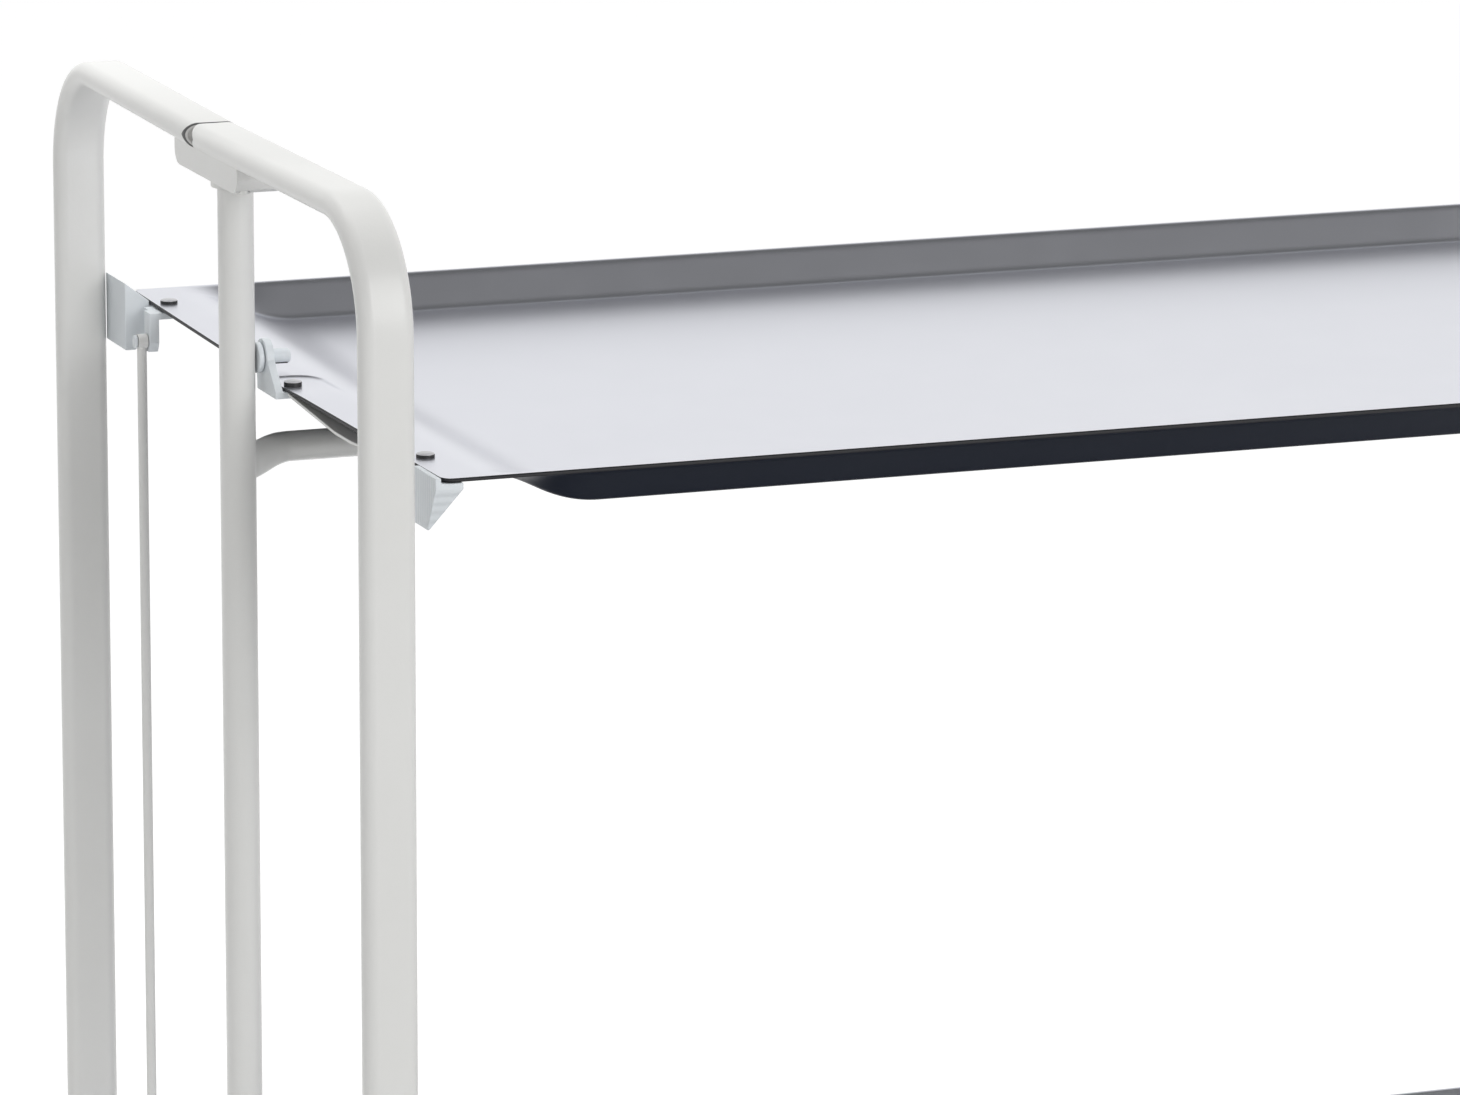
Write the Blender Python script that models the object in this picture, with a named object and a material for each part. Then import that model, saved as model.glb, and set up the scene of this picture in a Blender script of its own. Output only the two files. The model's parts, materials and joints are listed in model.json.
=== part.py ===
"""A folding serving trolley: two dished trays that tilt, and four half frames that swing, on two posts.

Metres, +Z up, +X along the trolley, -Y the front. The origin is on the floor under the middle.
Each end is modelled once in its own frame and mirrored: there x runs inwards from the post's axis,
y runs from the middle plane towards a leg, and z is the height above the floor.
"""

import math

import bmesh
import bpy
from mathutils import Matrix, Vector

# Fit
GAP = 0.0003
OVERRUN = 0.002
WELD_DISTANCE = 0.000004

# Overall layout
POST_SPACING = 0.700
LEG_SPACING = 0.400
TOP_HEIGHT = 0.710
HANDLE_RISE = 0.093
UPPER_PIVOT_HEIGHT = TOP_HEIGHT - HANDLE_RISE
LOWER_PIVOT_HEIGHT = 0.212

# Half frames, bent from flat oval tube. The middle of each end stands a little further out than the legs
TUBE_WIDTH = 0.0212
TUBE_THICKNESS = 0.010
TUBE_BEND_RADIUS = 0.044
TUBE_OFFSET = 0.0086
TUBE_END_ROUNDING = 0.005
VEE_SLOPE = math.tan(math.radians(0.9))
HALF_FRAME_GAP = 0.0006
LEG_BOTTOM = 0.048

# Frame hinges
HINGE_DISTANCE = 0.036
HINGE_PIN_RADIUS = 0.0025
HINGE_PIN_REACH = 0.0075

# Posts and the saddles on their ends
POST_RADIUS = 0.007
SADDLE_LENGTH = 0.082
SADDLE_HEIGHT = 0.0115
SADDLE_CORNER_RADIUS = 0.006
SADDLE_OUT = 0.012
SADDLE_IN = 0.0055
SOCKET_WALL = 0.0025
SOCKET_DEPTH = 0.015
SOCKET_FLOOR = 0.003

# Lower struts and the foot saddle that they turn on
STRUT_HEIGHT = 0.075
STRUT_WIDTH = 0.014
STRUT_THICKNESS = 0.010
PEG_RADIUS = 0.003
PEG_RISE = 0.002
FOOT_SADDLE_HEIGHT = 0.009

# Rails, round tube with flat cranked ends that pass behind the posts and behind a tilted tray
RAIL_RADIUS = 0.006
RAIL_OFFSET = 0.032
RAIL_DROP = 0.043
RAIL_FLAT_THICKNESS = 0.003
RAIL_FLAT_HEIGHT = 0.015
RAIL_FLAT_LENGTH = 0.003
RAIL_TUBE_START = 0.032
RAIL_CRANK_SHARES = ((0.30, 0.25), (0.48, 0.44))

# Trays, pressed sheet with a dish between two plain end strips
TRAY_END_DISTANCE = 0.0134
TRAY_WIDTH = 0.398
TRAY_SHEET = 0.0015
TRAY_DEPTH = 0.014
TRAY_RIM = 0.0015
TRAY_WALL_INSET = 0.0145
TRAY_END_STRIP = 0.015
TRAY_RAMP = 0.051
TRAY_CORNER_RADIUS = 0.005
PIVOT_RISE = 0.009

# Pivot ears and bolts
BOLT_RADIUS = 0.003
BOLT_COLLAR_RADIUS = 0.006
BOLT_COLLAR_THICKNESS = 0.0022
BOLT_TIP_REACH = 0.0086
EAR_THICKNESS = 0.0032
EAR_RADIUS = 0.0074
FOOT_THICKNESS = 0.0027
EAR_FOOT_REACH = 0.0135
EAR_FOOT_FRONT = 0.018
EAR_FOOT_BACK = 0.006
EAR_RIVET_INSET = 0.0048
EAR_RIVET_FRONT = 0.013

# Rivets
RIVET_RADIUS = 0.0019
RIVET_HEAD_RADIUS = 0.0034
RIVET_HEAD_HEIGHT = 0.0014

# Bowed strips under the front half of each tray end
STRIP_WIDTH = 0.012
STRIP_THICKNESS = 0.0012
STRIP_START = 0.020
STRIP_TO_CORNER = 0.029
STRIP_END = TRAY_WIDTH / 2 - STRIP_TO_CORNER
STRIP_BOW = 0.0045
STRIP_RIVET_TO_END = 0.011
STRIP_RIVET_DISTANCE = STRIP_END - STRIP_RIVET_TO_END
STRIP_RIVET_INSET = 0.0074

# Corner rests on the back legs, each with a shelf that the tray lies on
REST_WIDTH = 0.0275
REST_RISE = 0.008
REST_DROP = 0.020
REST_REACH = 0.0195
REST_FOOT = 0.0045
SHELF_THICKNESS = 0.0022

# Corner blocks on the trays, beside the front legs
BLOCK_OUT = 0.0135
BLOCK_IN = 0.0245
BLOCK_FOOT = 0.001
BLOCK_WIDTH = 0.025
BLOCK_OVERHANG = 0.0005
BLOCK_RISE = 0.0005
BLOCK_DROP = 0.0208
BLOCK_TAPER = 0.011

# Link rod at the back of the left end, and its forks
ROD_RADIUS = 0.002
ROD_INWARD = 0.0082
ROD_DISTANCE = 0.158
ROD_PIVOT_DROP = 0.0136
ROD_EYE_RADIUS = 0.003
ROD_PIN_RADIUS = 0.0015
ROD_PIN_HEAD_RADIUS = 0.0027
ROD_PIN_HEAD = 0.001
FORK_TAB = 0.004
FORK_TAB_WIDTH = 0.008
FORK_TAB_DROP = 0.018
FORK_PLATE_IN = 0.003
FORK_RIVET_INSET = 0.0060
FORK_RIVET_DISTANCE = 0.1650

# Casters
WHEEL_RADIUS = 0.020
WHEEL_WIDTH = 0.016
WHEEL_EDGE = 0.004
WHEEL_HUB_RADIUS = 0.008
WHEEL_RECESS = 0.002
CASTER_TRAIL = 0.012
FORK_SIDE_CLEARANCE = 0.001
FORK_SHEET = 0.0025
FORK_LENGTH_AHEAD = 0.0095
FORK_LENGTH_BEHIND = 0.018
CROWN_CLEARANCE = 0.0022
CASTER_FLANGE_RADIUS = 0.008
STEM_RADIUS = 0.003
STEM_LENGTH = 0.025
AXLE_RADIUS = 0.002
AXLE_HEAD_RADIUS = 0.0035
AXLE_HEAD = 0.001

# Facets
ROUND_SEGMENTS = 24
SMALL_SEGMENTS = 16
BEND_STEPS = 9
OVAL_STEPS = 4
RAMP_STEPS = 6
WALL_STEPS = 4
CORNER_STEPS = 4

# Colours, roughness and metallic value of each material
FINISHES = {
    "frame_paint": ((0.69, 0.68, 0.66), 0.38, 0.0),
    "white_plastic": ((0.80, 0.82, 0.83), 0.45, 0.0),
    "tray_sheet": ((0.55, 0.55, 0.60), 0.28, 0.6),
    "zinc_steel": ((0.62, 0.62, 0.60), 0.35, 1.0),
    "grey_tyre": ((0.12, 0.12, 0.125), 0.6, 0.0),
}

LEFT, RIGHT = -1, 1
FRONT, BACK = -1, 1
SIDES = {"left": LEFT, "right": RIGHT}
ROWS = {"front": FRONT, "back": BACK}
TRAYS = {"upper": UPPER_PIVOT_HEIGHT, "lower": LOWER_PIVOT_HEIGHT}

materials = {}
bodies = {}


def clear_scene():
    for obj in list(bpy.data.objects):
        bpy.data.objects.remove(obj)


def make_materials():
    for name, (colour, roughness, metallic) in FINISHES.items():
        material = bpy.data.materials.new(name)
        material.use_nodes = True
        shader = material.node_tree.nodes["Principled BSDF"]
        shader.inputs["Base Color"].default_value = (*colour, 1)
        shader.inputs["Roughness"].default_value = roughness
        shader.inputs["Metallic"].default_value = metallic
        materials[name] = material


def end_matrix(side, row=BACK):
    """From an end's own frame to the trolley's: mirrored for the right end and for the front row."""
    centre = Matrix.Translation((side * POST_SPACING / 2, 0, 0))
    return centre @ Matrix.Diagonal((-side, row, 1, 1))


def make_body(name, location, parent=None):
    """An empty on the joint's axis that carries the pieces of one moving body."""
    empty = bpy.data.objects.new(f"{name}_axis", None)
    bpy.context.scene.collection.objects.link(empty)
    place = Vector(location)
    bodies[name] = (empty, place)
    if parent:
        empty.parent = bodies[parent][0]
        place = place - bodies[parent][1]
    empty.location = place


def make_object(name, bm, body, matrix):
    empty, place = bodies[body]
    bm.transform(Matrix.Translation(-place) @ matrix)
    bmesh.ops.recalc_face_normals(bm, faces=bm.faces)
    mesh = bpy.data.meshes.new(name)
    bm.to_mesh(mesh)
    bm.free()
    obj = bpy.data.objects.new(name, mesh)
    bpy.context.scene.collection.objects.link(obj)
    obj.parent = empty
    return obj


def add_piece(name, bm, finish, body="root", matrix=None, smooth=False):
    obj = make_object(name, bm, body, matrix or Matrix())
    obj.data.materials.append(materials[finish])
    if smooth:
        obj.data.shade_smooth()
        obj.data.set_sharp_from_angle(angle=math.radians(35))
    return obj


def boolean(piece, bm, operation, body="root", matrix=None):
    """Cuts a shape from a piece, or joins one to it. The shape stays as a hidden helper."""
    helper = make_object(f"{piece.name}_{operation.lower()}", bm, body, matrix or Matrix())
    helper.hide_render = True
    helper.display_type = "WIRE"
    modifier = piece.modifiers.new(helper.name, "BOOLEAN")
    modifier.operation = operation
    modifier.solver = "EXACT"
    modifier.object = helper
    weld = piece.modifiers.new(f"{helper.name}_weld", "WELD")
    weld.merge_threshold = WELD_DISTANCE


def shell(points, faces):
    bm = bmesh.new()
    verts = [bm.verts.new(point) for point in points]
    for face in faces:
        bm.faces.new([verts[index] for index in face])
    return bm


def prism(outline, low, high, axis="z"):
    """An outline drawn at right angles to an axis, extended along it."""
    order = {"x": lambda a, b, c: (c, a, b), "y": lambda a, b, c: (a, c, b), "z": lambda a, b, c: (a, b, c)}
    count = len(outline)
    points = [order[axis](a, b, low) for a, b in outline] + [order[axis](a, b, high) for a, b in outline]
    faces = [tuple(range(count)), tuple(range(count, 2 * count))]
    faces += [(i, (i + 1) % count, count + (i + 1) % count, count + i) for i in range(count)]
    return shell(points, faces)


def arc(centre, radius, start, end, steps):
    """Points of an arc, angles in degrees."""
    angles = [math.radians(start + (end - start) * step / steps) for step in range(steps + 1)]
    return [(centre[0] + radius * math.cos(a), centre[1] + radius * math.sin(a)) for a in angles]


def turned(profile, segments, place, axis="z", bored=False):
    """A profile of (radius, height) turned round an axis through place. A bored one is a closed loop."""
    directions = {
        "x": lambda r, h, c, s: (h, r * c, r * s),
        "y": lambda r, h, c, s: (r * s, h, r * c),
        "z": lambda r, h, c, s: (r * c, r * s, h),
    }
    points, rings = [], []
    for radius, height in profile:
        turns = range(segments) if radius else range(1)
        ring = []
        for turn in turns:
            angle = math.tau * turn / segments
            ring.append(len(points))
            points.append(directions[axis](radius, height, math.cos(angle), math.sin(angle)))
        rings.append(ring)
    pairs = list(zip(rings, rings[1:]))
    if bored:
        pairs.append((rings[-1], rings[0]))
    faces = []
    for lower, upper in pairs:
        for turn in range(segments):
            after = (turn + 1) % segments
            corners = [lower[turn % len(lower)], lower[after % len(lower)]]
            corners += [upper[after % len(upper)], upper[turn % len(upper)]]
            faces.append(tuple(dict.fromkeys(corners)))
    bm = shell(points, faces)
    bm.transform(Matrix.Translation(place))
    return bm


def rod(radius, low, high, place, axis="z", segments=SMALL_SEGMENTS):
    return turned([(0, low), (radius, low), (radius, high), (0, high)], segments, place, axis)


def swept(rings):
    """A solid through rings of the same number of points, closed at both ends."""
    count = len(rings[0])
    points = [point for ring in rings for point in ring]
    faces = []
    for step in range(len(rings) - 1):
        base = step * count
        for i in range(count):
            after = (i + 1) % count
            faces.append((base + i, base + after, base + count + after, base + count + i))
    last = (len(rings) - 1) * count
    half = count // 2
    for base in (0, last):
        faces.append((base, base + 1, base + count - 1))
        for i in range(1, half - 1):
            faces.append((base + i, base + i + 1, base + count - i - 1, base + count - i))
        faces.append((base + half - 1, base + half, base + half + 1))
    return shell(points, faces)


def oval_half_section():
    """The flat oval tube's section as pairs: a place across its width, and half its thickness there."""
    radius = TUBE_THICKNESS / 2
    flat = TUBE_WIDTH / 2 - radius
    angles = [math.radians(90 * step / OVAL_STEPS) for step in range(OVAL_STEPS + 1)]
    side = [(flat + radius * math.cos(a), radius * math.sin(a)) for a in angles]
    return [(-across, half) for across, half in side] + side[::-1]


def frame_line(distance):
    """How far inwards the half frame's middle line lies, at a distance from the trolley's middle plane."""
    return distance * VEE_SLOPE - TUBE_OFFSET


def bar_end_distance(across):
    """Where the half bar ends. Its outer half is an arc round the hinge pin, so that it clears its twin."""
    reach = HINGE_DISTANCE - HALF_FRAME_GAP / 2
    outward = max(-across, 0)
    distance = HINGE_DISTANCE - math.sqrt(reach**2 - outward**2)
    corner = outward - (TUBE_WIDTH / 2 - TUBE_END_ROUNDING)
    if corner > 0:
        distance += TUBE_END_ROUNDING - math.sqrt(TUBE_END_ROUNDING**2 - min(corner, TUBE_END_ROUNDING) ** 2)
    return distance


def half_frame():
    """A leg and half a handle bar, bent from one tube."""
    bar_height = TOP_HEIGHT - TUBE_THICKNESS / 2
    leg_distance = LEG_SPACING / 2
    section = oval_half_section()
    ring_of = section + [(across, -half) for across, half in section[-2:0:-1]]

    def ring(distance, height, out_y, out_z):
        points = []
        for across, out in ring_of:
            y = (bar_end_distance(across) if distance is None else distance) + out * out_y
            points.append((frame_line(y) + across, y, height + out * out_z))
        return points

    rings = [ring(None, bar_height, 0, 1)]
    for step in range(BEND_STEPS + 1):
        turn = math.radians(90 * step / BEND_STEPS)
        out_y, out_z = math.sin(turn), math.cos(turn)
        distance = leg_distance - TUBE_BEND_RADIUS * (1 - out_y)
        rings.append(ring(distance, bar_height - TUBE_BEND_RADIUS * (1 - out_z), out_y, out_z))
    rings.append(ring(leg_distance, LEG_BOTTOM, 1, 0))
    return swept(rings)


def hinge_place():
    return frame_line(HINGE_DISTANCE), HINGE_DISTANCE


def leg_place():
    return frame_line(LEG_SPACING / 2), LEG_SPACING / 2


def add_half_frame(side_name, row_name):
    side, row = SIDES[side_name], ROWS[row_name]
    body = f"half_frame_{side_name}_{row_name}"
    matrix = end_matrix(side, row)
    hinge_x, hinge_y = hinge_place()
    leg_x, leg_y = leg_place()
    bar_bottom = TOP_HEIGHT - TUBE_THICKNESS

    tube = add_piece(f"frame_tube_{side_name}_{row_name}", half_frame(), "frame_paint", body, matrix, True)
    hole = rod(HINGE_PIN_RADIUS + GAP, -OVERRUN, HINGE_PIN_REACH + GAP, (hinge_x, hinge_y, bar_bottom))
    boolean(tube, hole, "DIFFERENCE", body, matrix)
    bore = rod(STEM_RADIUS + GAP, -OVERRUN, STEM_LENGTH + GAP, (leg_x, leg_y, LEG_BOTTOM))
    boolean(tube, bore, "DIFFERENCE", body, matrix)

    half = STRUT_WIDTH / 2
    strut_end = leg_y - TUBE_THICKNESS / 2 - GAP
    outline = arc((hinge_x, hinge_y), half, 180, 360, SMALL_SEGMENTS // 2)
    outline += [(frame_line(strut_end) + half, strut_end), (frame_line(strut_end) - half, strut_end)]
    strut = prism(outline, STRUT_HEIGHT, STRUT_HEIGHT + STRUT_THICKNESS)
    piece = add_piece(f"lower_strut_{side_name}_{row_name}", strut, "frame_paint", body, matrix)
    eye = rod(PEG_RADIUS + GAP, -OVERRUN, STRUT_THICKNESS + OVERRUN, (hinge_x, hinge_y, STRUT_HEIGHT))
    boolean(piece, eye, "DIFFERENCE", body, matrix)

    pin_bottom = TOP_HEIGHT - TUBE_THICKNESS - SADDLE_HEIGHT - GAP
    pin = rod(HINGE_PIN_RADIUS, pin_bottom, bar_bottom + HINGE_PIN_REACH, (hinge_x, hinge_y, 0))
    add_piece(f"hinge_pin_{side_name}_{row_name}", pin, "zinc_steel", "root", matrix, True)


def caster_heights():
    crown_bottom = 2 * WHEEL_RADIUS + CROWN_CLEARANCE
    return crown_bottom, crown_bottom + FORK_SHEET


def wheel_profile():
    half, bore, middle = WHEEL_WIDTH / 2, AXLE_RADIUS + GAP, WHEEL_RADIUS - WHEEL_EDGE
    shoulder = half - WHEEL_EDGE
    edge = [(middle + (r - middle), h) for r, h in arc((middle, shoulder), WHEEL_EDGE, 0, 90, 3)]
    hub = [(WHEEL_HUB_RADIUS + WHEEL_RECESS, half - WHEEL_RECESS), (WHEEL_HUB_RADIUS, half), (bore, half)]
    upper = edge + hub
    return [(r, -h) for r, h in upper[::-1]] + upper


def add_caster(side_name, row_name):
    side, row = SIDES[side_name], ROWS[row_name]
    name = f"{side_name}_{row_name}"
    matrix = end_matrix(side, row)
    swivel, roll = f"caster_{name}", f"wheel_{name}"
    leg_x, leg_y = leg_place()
    axle_x = leg_x + CASTER_TRAIL
    crown_bottom, crown_top = caster_heights()

    inner = WHEEL_WIDTH / 2 + FORK_SIDE_CLEARANCE
    outer = inner + FORK_SHEET
    cheek_bottom = WHEEL_RADIUS - AXLE_HEAD_RADIUS - FORK_SHEET
    yoke = [(leg_y + y, z) for y, z in (
        (-outer, cheek_bottom), (-outer, crown_top), (outer, crown_top), (outer, cheek_bottom),
        (inner, cheek_bottom), (inner, crown_bottom), (-inner, crown_bottom), (-inner, cheek_bottom),
    )]
    yoke = prism(yoke, leg_x - FORK_LENGTH_AHEAD, leg_x + FORK_LENGTH_BEHIND, "x")
    fork = add_piece(f"caster_fork_{name}", yoke, "zinc_steel", swivel, matrix)
    flange_top = LEG_BOTTOM - GAP
    sunk = crown_bottom + FORK_SHEET / 2
    stem = turned(
        [(0, sunk), (CASTER_FLANGE_RADIUS, sunk), (CASTER_FLANGE_RADIUS, flange_top),
         (STEM_RADIUS, flange_top), (STEM_RADIUS, LEG_BOTTOM + STEM_LENGTH), (0, LEG_BOTTOM + STEM_LENGTH)],
        SMALL_SEGMENTS, (leg_x, leg_y, 0),
    )
    boolean(fork, stem, "UNION", swivel, matrix)
    reach = outer + OVERRUN
    axle_hole = rod(AXLE_RADIUS + GAP, -reach, reach, (axle_x, leg_y, WHEEL_RADIUS), "y")
    boolean(fork, axle_hole, "DIFFERENCE", swivel, matrix)

    seat = outer + GAP
    axle = turned(
        [(0, -seat - AXLE_HEAD), (AXLE_HEAD_RADIUS, -seat - AXLE_HEAD), (AXLE_HEAD_RADIUS, -seat),
         (AXLE_RADIUS, -seat), (AXLE_RADIUS, seat), (AXLE_HEAD_RADIUS, seat),
         (AXLE_HEAD_RADIUS, seat + AXLE_HEAD), (0, seat + AXLE_HEAD)],
        SMALL_SEGMENTS, (axle_x, leg_y, WHEEL_RADIUS), "y",
    )
    add_piece(f"wheel_axle_{name}", axle, "zinc_steel", swivel, matrix, True)
    wheel = turned(wheel_profile(), ROUND_SEGMENTS, (axle_x, leg_y, WHEEL_RADIUS), "y", bored=True)
    add_piece(f"wheel_{name}", wheel, "grey_tyre", roll, matrix, True)


def add_post(side_name):
    side = SIDES[side_name]
    matrix = end_matrix(side)
    saddle_top = TOP_HEIGHT - TUBE_THICKNESS - GAP
    saddle_bottom = saddle_top - SADDLE_HEIGHT
    post_top = saddle_top - SOCKET_FLOOR - GAP
    post_bottom = STRUT_HEIGHT - GAP - FOOT_SADDLE_HEIGHT + SOCKET_FLOOR + GAP
    post = rod(POST_RADIUS, post_bottom, post_top, (0, 0, 0), segments=ROUND_SEGMENTS)
    add_piece(f"post_{side_name}", post, "frame_paint", "root", matrix, True)

    half = SADDLE_LENGTH / 2
    turn, turn_height = half - SADDLE_CORNER_RADIUS, saddle_bottom + SADDLE_CORNER_RADIUS
    outline = arc((-turn, turn_height), SADDLE_CORNER_RADIUS, 180, 270, CORNER_STEPS)
    outline += arc((turn, turn_height), SADDLE_CORNER_RADIUS, 270, 360, CORNER_STEPS)
    outline += [(half, saddle_top), (-half, saddle_top)]
    saddle = prism(outline, -SADDLE_OUT, SADDLE_IN, "x")
    top = add_piece(f"top_saddle_{side_name}", saddle, "frame_paint", "root", matrix)
    socket_top = saddle_top - SOCKET_FLOOR / 2
    socket_bottom, socket_radius = saddle_top - SOCKET_DEPTH, POST_RADIUS + SOCKET_WALL
    socket = rod(socket_radius, socket_bottom, socket_top, (0, 0, 0), segments=ROUND_SEGMENTS)
    boolean(top, socket, "UNION", "root", matrix)
    bore = rod(POST_RADIUS + GAP, socket_bottom - OVERRUN, post_top + GAP, (0, 0, 0))
    boolean(top, bore, "DIFFERENCE", "root", matrix)

    foot_top = STRUT_HEIGHT - GAP
    foot_bottom = foot_top - FOOT_SADDLE_HEIGHT
    foot_half = STRUT_WIDTH / 2
    hinge_x, hinge_y = hinge_place()
    outline = arc((hinge_x, hinge_y), foot_half, 0, 180, SMALL_SEGMENTS // 2)
    outline += arc((hinge_x, -hinge_y), foot_half, 180, 360, SMALL_SEGMENTS // 2)
    foot = prism(outline, foot_bottom, foot_top)
    piece = add_piece(f"foot_saddle_{side_name}", foot, "frame_paint", "root", matrix)
    collar_top = foot_bottom + SOCKET_DEPTH
    collar_bottom = foot_bottom + SOCKET_FLOOR / 2
    collar = rod(socket_radius, collar_bottom, collar_top, (0, 0, 0), segments=ROUND_SEGMENTS)
    boolean(piece, collar, "UNION", "root", matrix)
    bore = rod(POST_RADIUS + GAP, post_bottom - GAP, collar_top + OVERRUN, (0, 0, 0))
    boolean(piece, bore, "DIFFERENCE", "root", matrix)
    peg_bottom = foot_bottom + SOCKET_FLOOR
    peg_top = STRUT_HEIGHT + STRUT_THICKNESS + PEG_RISE
    for row in ROWS.values():
        peg = rod(PEG_RADIUS, peg_bottom, peg_top, (hinge_x, row * hinge_y, 0))
        boolean(piece, peg, "UNION", "root", matrix)
    for row in ROWS.values():
        place = (hinge_x, row * hinge_y, 0)
        hole = rod(HINGE_PIN_RADIUS + GAP, saddle_bottom - OVERRUN, saddle_top + OVERRUN, place)
        boolean(top, hole, "DIFFERENCE", "root", matrix)


def rail_line():
    """The rail's left half as (x, y, half thickness, half height), in the end's frame."""
    flat_y = POST_RADIUS + GAP + RAIL_FLAT_THICKNESS / 2
    flat = RAIL_FLAT_THICKNESS / 2, RAIL_FLAT_HEIGHT / 2
    line = [(0, flat_y, *flat), (RAIL_FLAT_LENGTH, flat_y, *flat)]
    for along_share, across_share in RAIL_CRANK_SHARES:
        x = RAIL_FLAT_LENGTH + along_share * (RAIL_TUBE_START - RAIL_FLAT_LENGTH)
        line.append((x, flat_y + across_share * (RAIL_OFFSET - flat_y), *flat))
    line.append((RAIL_TUBE_START, RAIL_OFFSET, RAIL_RADIUS, RAIL_RADIUS))
    return line


def add_rail(tray_name):
    height = TRAYS[tray_name] - RAIL_DROP
    left = [(x - POST_SPACING / 2, y, t, h) for x, y, t, h in rail_line()]
    line = left + [(-x, y, t, h) for x, y, t, h in left[::-1]]
    rings = []
    for index, (x, y, thick, tall) in enumerate(line):
        before, after = line[max(index - 1, 0)], line[min(index + 1, len(line) - 1)]
        heading = Vector((after[0] - before[0], after[1] - before[1])).normalized()
        ring = []
        for step in range(SMALL_SEGMENTS):
            angle = math.tau * step / SMALL_SEGMENTS
            out, up = thick * math.sin(angle), tall * math.cos(angle)
            ring.append((x - heading.y * out, y + heading.x * out, height + up))
        rings.append(ring)
    add_piece(f"rail_{tray_name}", swept(rings), "frame_paint", smooth=True)


def tray_end(distance):
    """How far inwards from the post's axis the tray's plain end edge lies. It follows the half frames."""
    return TRAY_END_DISTANCE + abs(distance) * VEE_SLOPE


def ease(share):
    return share * share * (3 - 2 * share)


def tray_stations():
    """Where the tray's grid lines lie across its width, and the dish's share of its depth there."""
    half = TRAY_WIDTH / 2
    wall_top = half - TRAY_RIM
    stations = [(half, 0), (wall_top, 0)]
    for step in range(1, WALL_STEPS + 1):
        share = step / WALL_STEPS
        stations.append((wall_top - share * TRAY_WALL_INSET, ease(share)))
    return [(-y, depth) for y, depth in stations] + [(0, 1)] + stations[::-1]


def tray_sheet(pivot_height):
    half = TRAY_WIDTH / 2
    shares = [step / RAMP_STEPS for step in range(RAMP_STEPS + 1)]
    ramp = [(TRAY_END_STRIP + TRAY_RAMP * share, ease(share)) for share in shares]
    rows = []
    for end in (LEFT, RIGHT):
        for inward, end_depth in ([(0, 0)] + ramp)[:: -end]:
            row = []
            for y, depth in tray_stations():
                corner = max(abs(y) - (half - TRAY_CORNER_RADIUS), 0)
                cut = TRAY_CORNER_RADIUS - math.sqrt(max(TRAY_CORNER_RADIUS**2 - corner**2, 0))
                x = POST_SPACING / 2 - tray_end(y) - max(inward, cut)
                z = pivot_height - PIVOT_RISE - TRAY_DEPTH * depth * end_depth
                row.append((end * x, y, z))
            rows.append(row)
    across = len(rows[0])
    top = [point for row in rows for point in row]
    points = top + [(x, y, z - TRAY_SHEET) for x, y, z in top]
    below = len(top)
    faces = []
    for i in range(len(rows) - 1):
        for j in range(across - 1):
            a = i * across + j
            quad = (a, a + 1, a + across + 1, a + across)
            faces += [quad, tuple(below + k for k in quad)]
    border = [j for j in range(across)]
    border += [i * across + across - 1 for i in range(1, len(rows))]
    border += [(len(rows) - 1) * across + j for j in range(across - 2, -1, -1)]
    border += [i * across for i in range(len(rows) - 2, 0, -1)]
    for a, b in zip(border, border[1:] + border[:1]):
        faces.append((a, b, below + b, below + a))
    return shell(points, faces)


def rivet(place, under):
    """A rivet whose shank starts at the height under, with a domed head on the tray."""
    rim = place[2]
    profile = [(0, under), (RIVET_RADIUS, under), (RIVET_RADIUS, rim + GAP), (RIVET_HEAD_RADIUS, rim + GAP)]
    dome = arc((0, 0), 1, 0, 90, 3)[1:]
    profile += [(RIVET_HEAD_RADIUS * c if s < 1 else 0, rim + GAP + RIVET_HEAD_HEIGHT * s) for c, s in dome]
    return turned(profile, SMALL_SEGMENTS, (place[0], place[1], 0))


def rivet_places(pivot_height):
    """The rivets of one tray end, in the end's frame."""
    rim = pivot_height - PIVOT_RISE
    ear = (tray_end(EAR_RIVET_FRONT) + EAR_RIVET_INSET, -EAR_RIVET_FRONT, rim)
    strip = (tray_end(STRIP_RIVET_DISTANCE) + STRIP_RIVET_INSET, -STRIP_RIVET_DISTANCE, rim)
    fork = (tray_end(FORK_RIVET_DISTANCE) + FORK_RIVET_INSET, FORK_RIVET_DISTANCE, rim)
    return {"ear": ear, "strip": strip, "fork": fork}


def add_tray(tray_name):
    pivot_height = TRAYS[tray_name]
    body = f"tray_{tray_name}"
    rivets = rivet_places(pivot_height)
    tray = add_piece(f"tray_{tray_name}", tray_sheet(pivot_height), "tray_sheet", body, smooth=True)
    for side_name, side in SIDES.items():
        kinds = ("ear", "strip", "fork") if side == LEFT else ("ear", "strip")
        for kind in kinds:
            x, y, z = rivets[kind]
            hole = rod(RIVET_RADIUS + GAP, -TRAY_SHEET - OVERRUN, OVERRUN, (x, y, z))
            boolean(tray, hole, "DIFFERENCE", body, end_matrix(side))
        add_ear(tray_name, side_name, rivets["ear"])
        add_strip(tray_name, side_name, rivets["strip"])
        add_corner_rest(tray_name, side_name)
        add_corner_block(tray_name, side_name)


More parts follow.
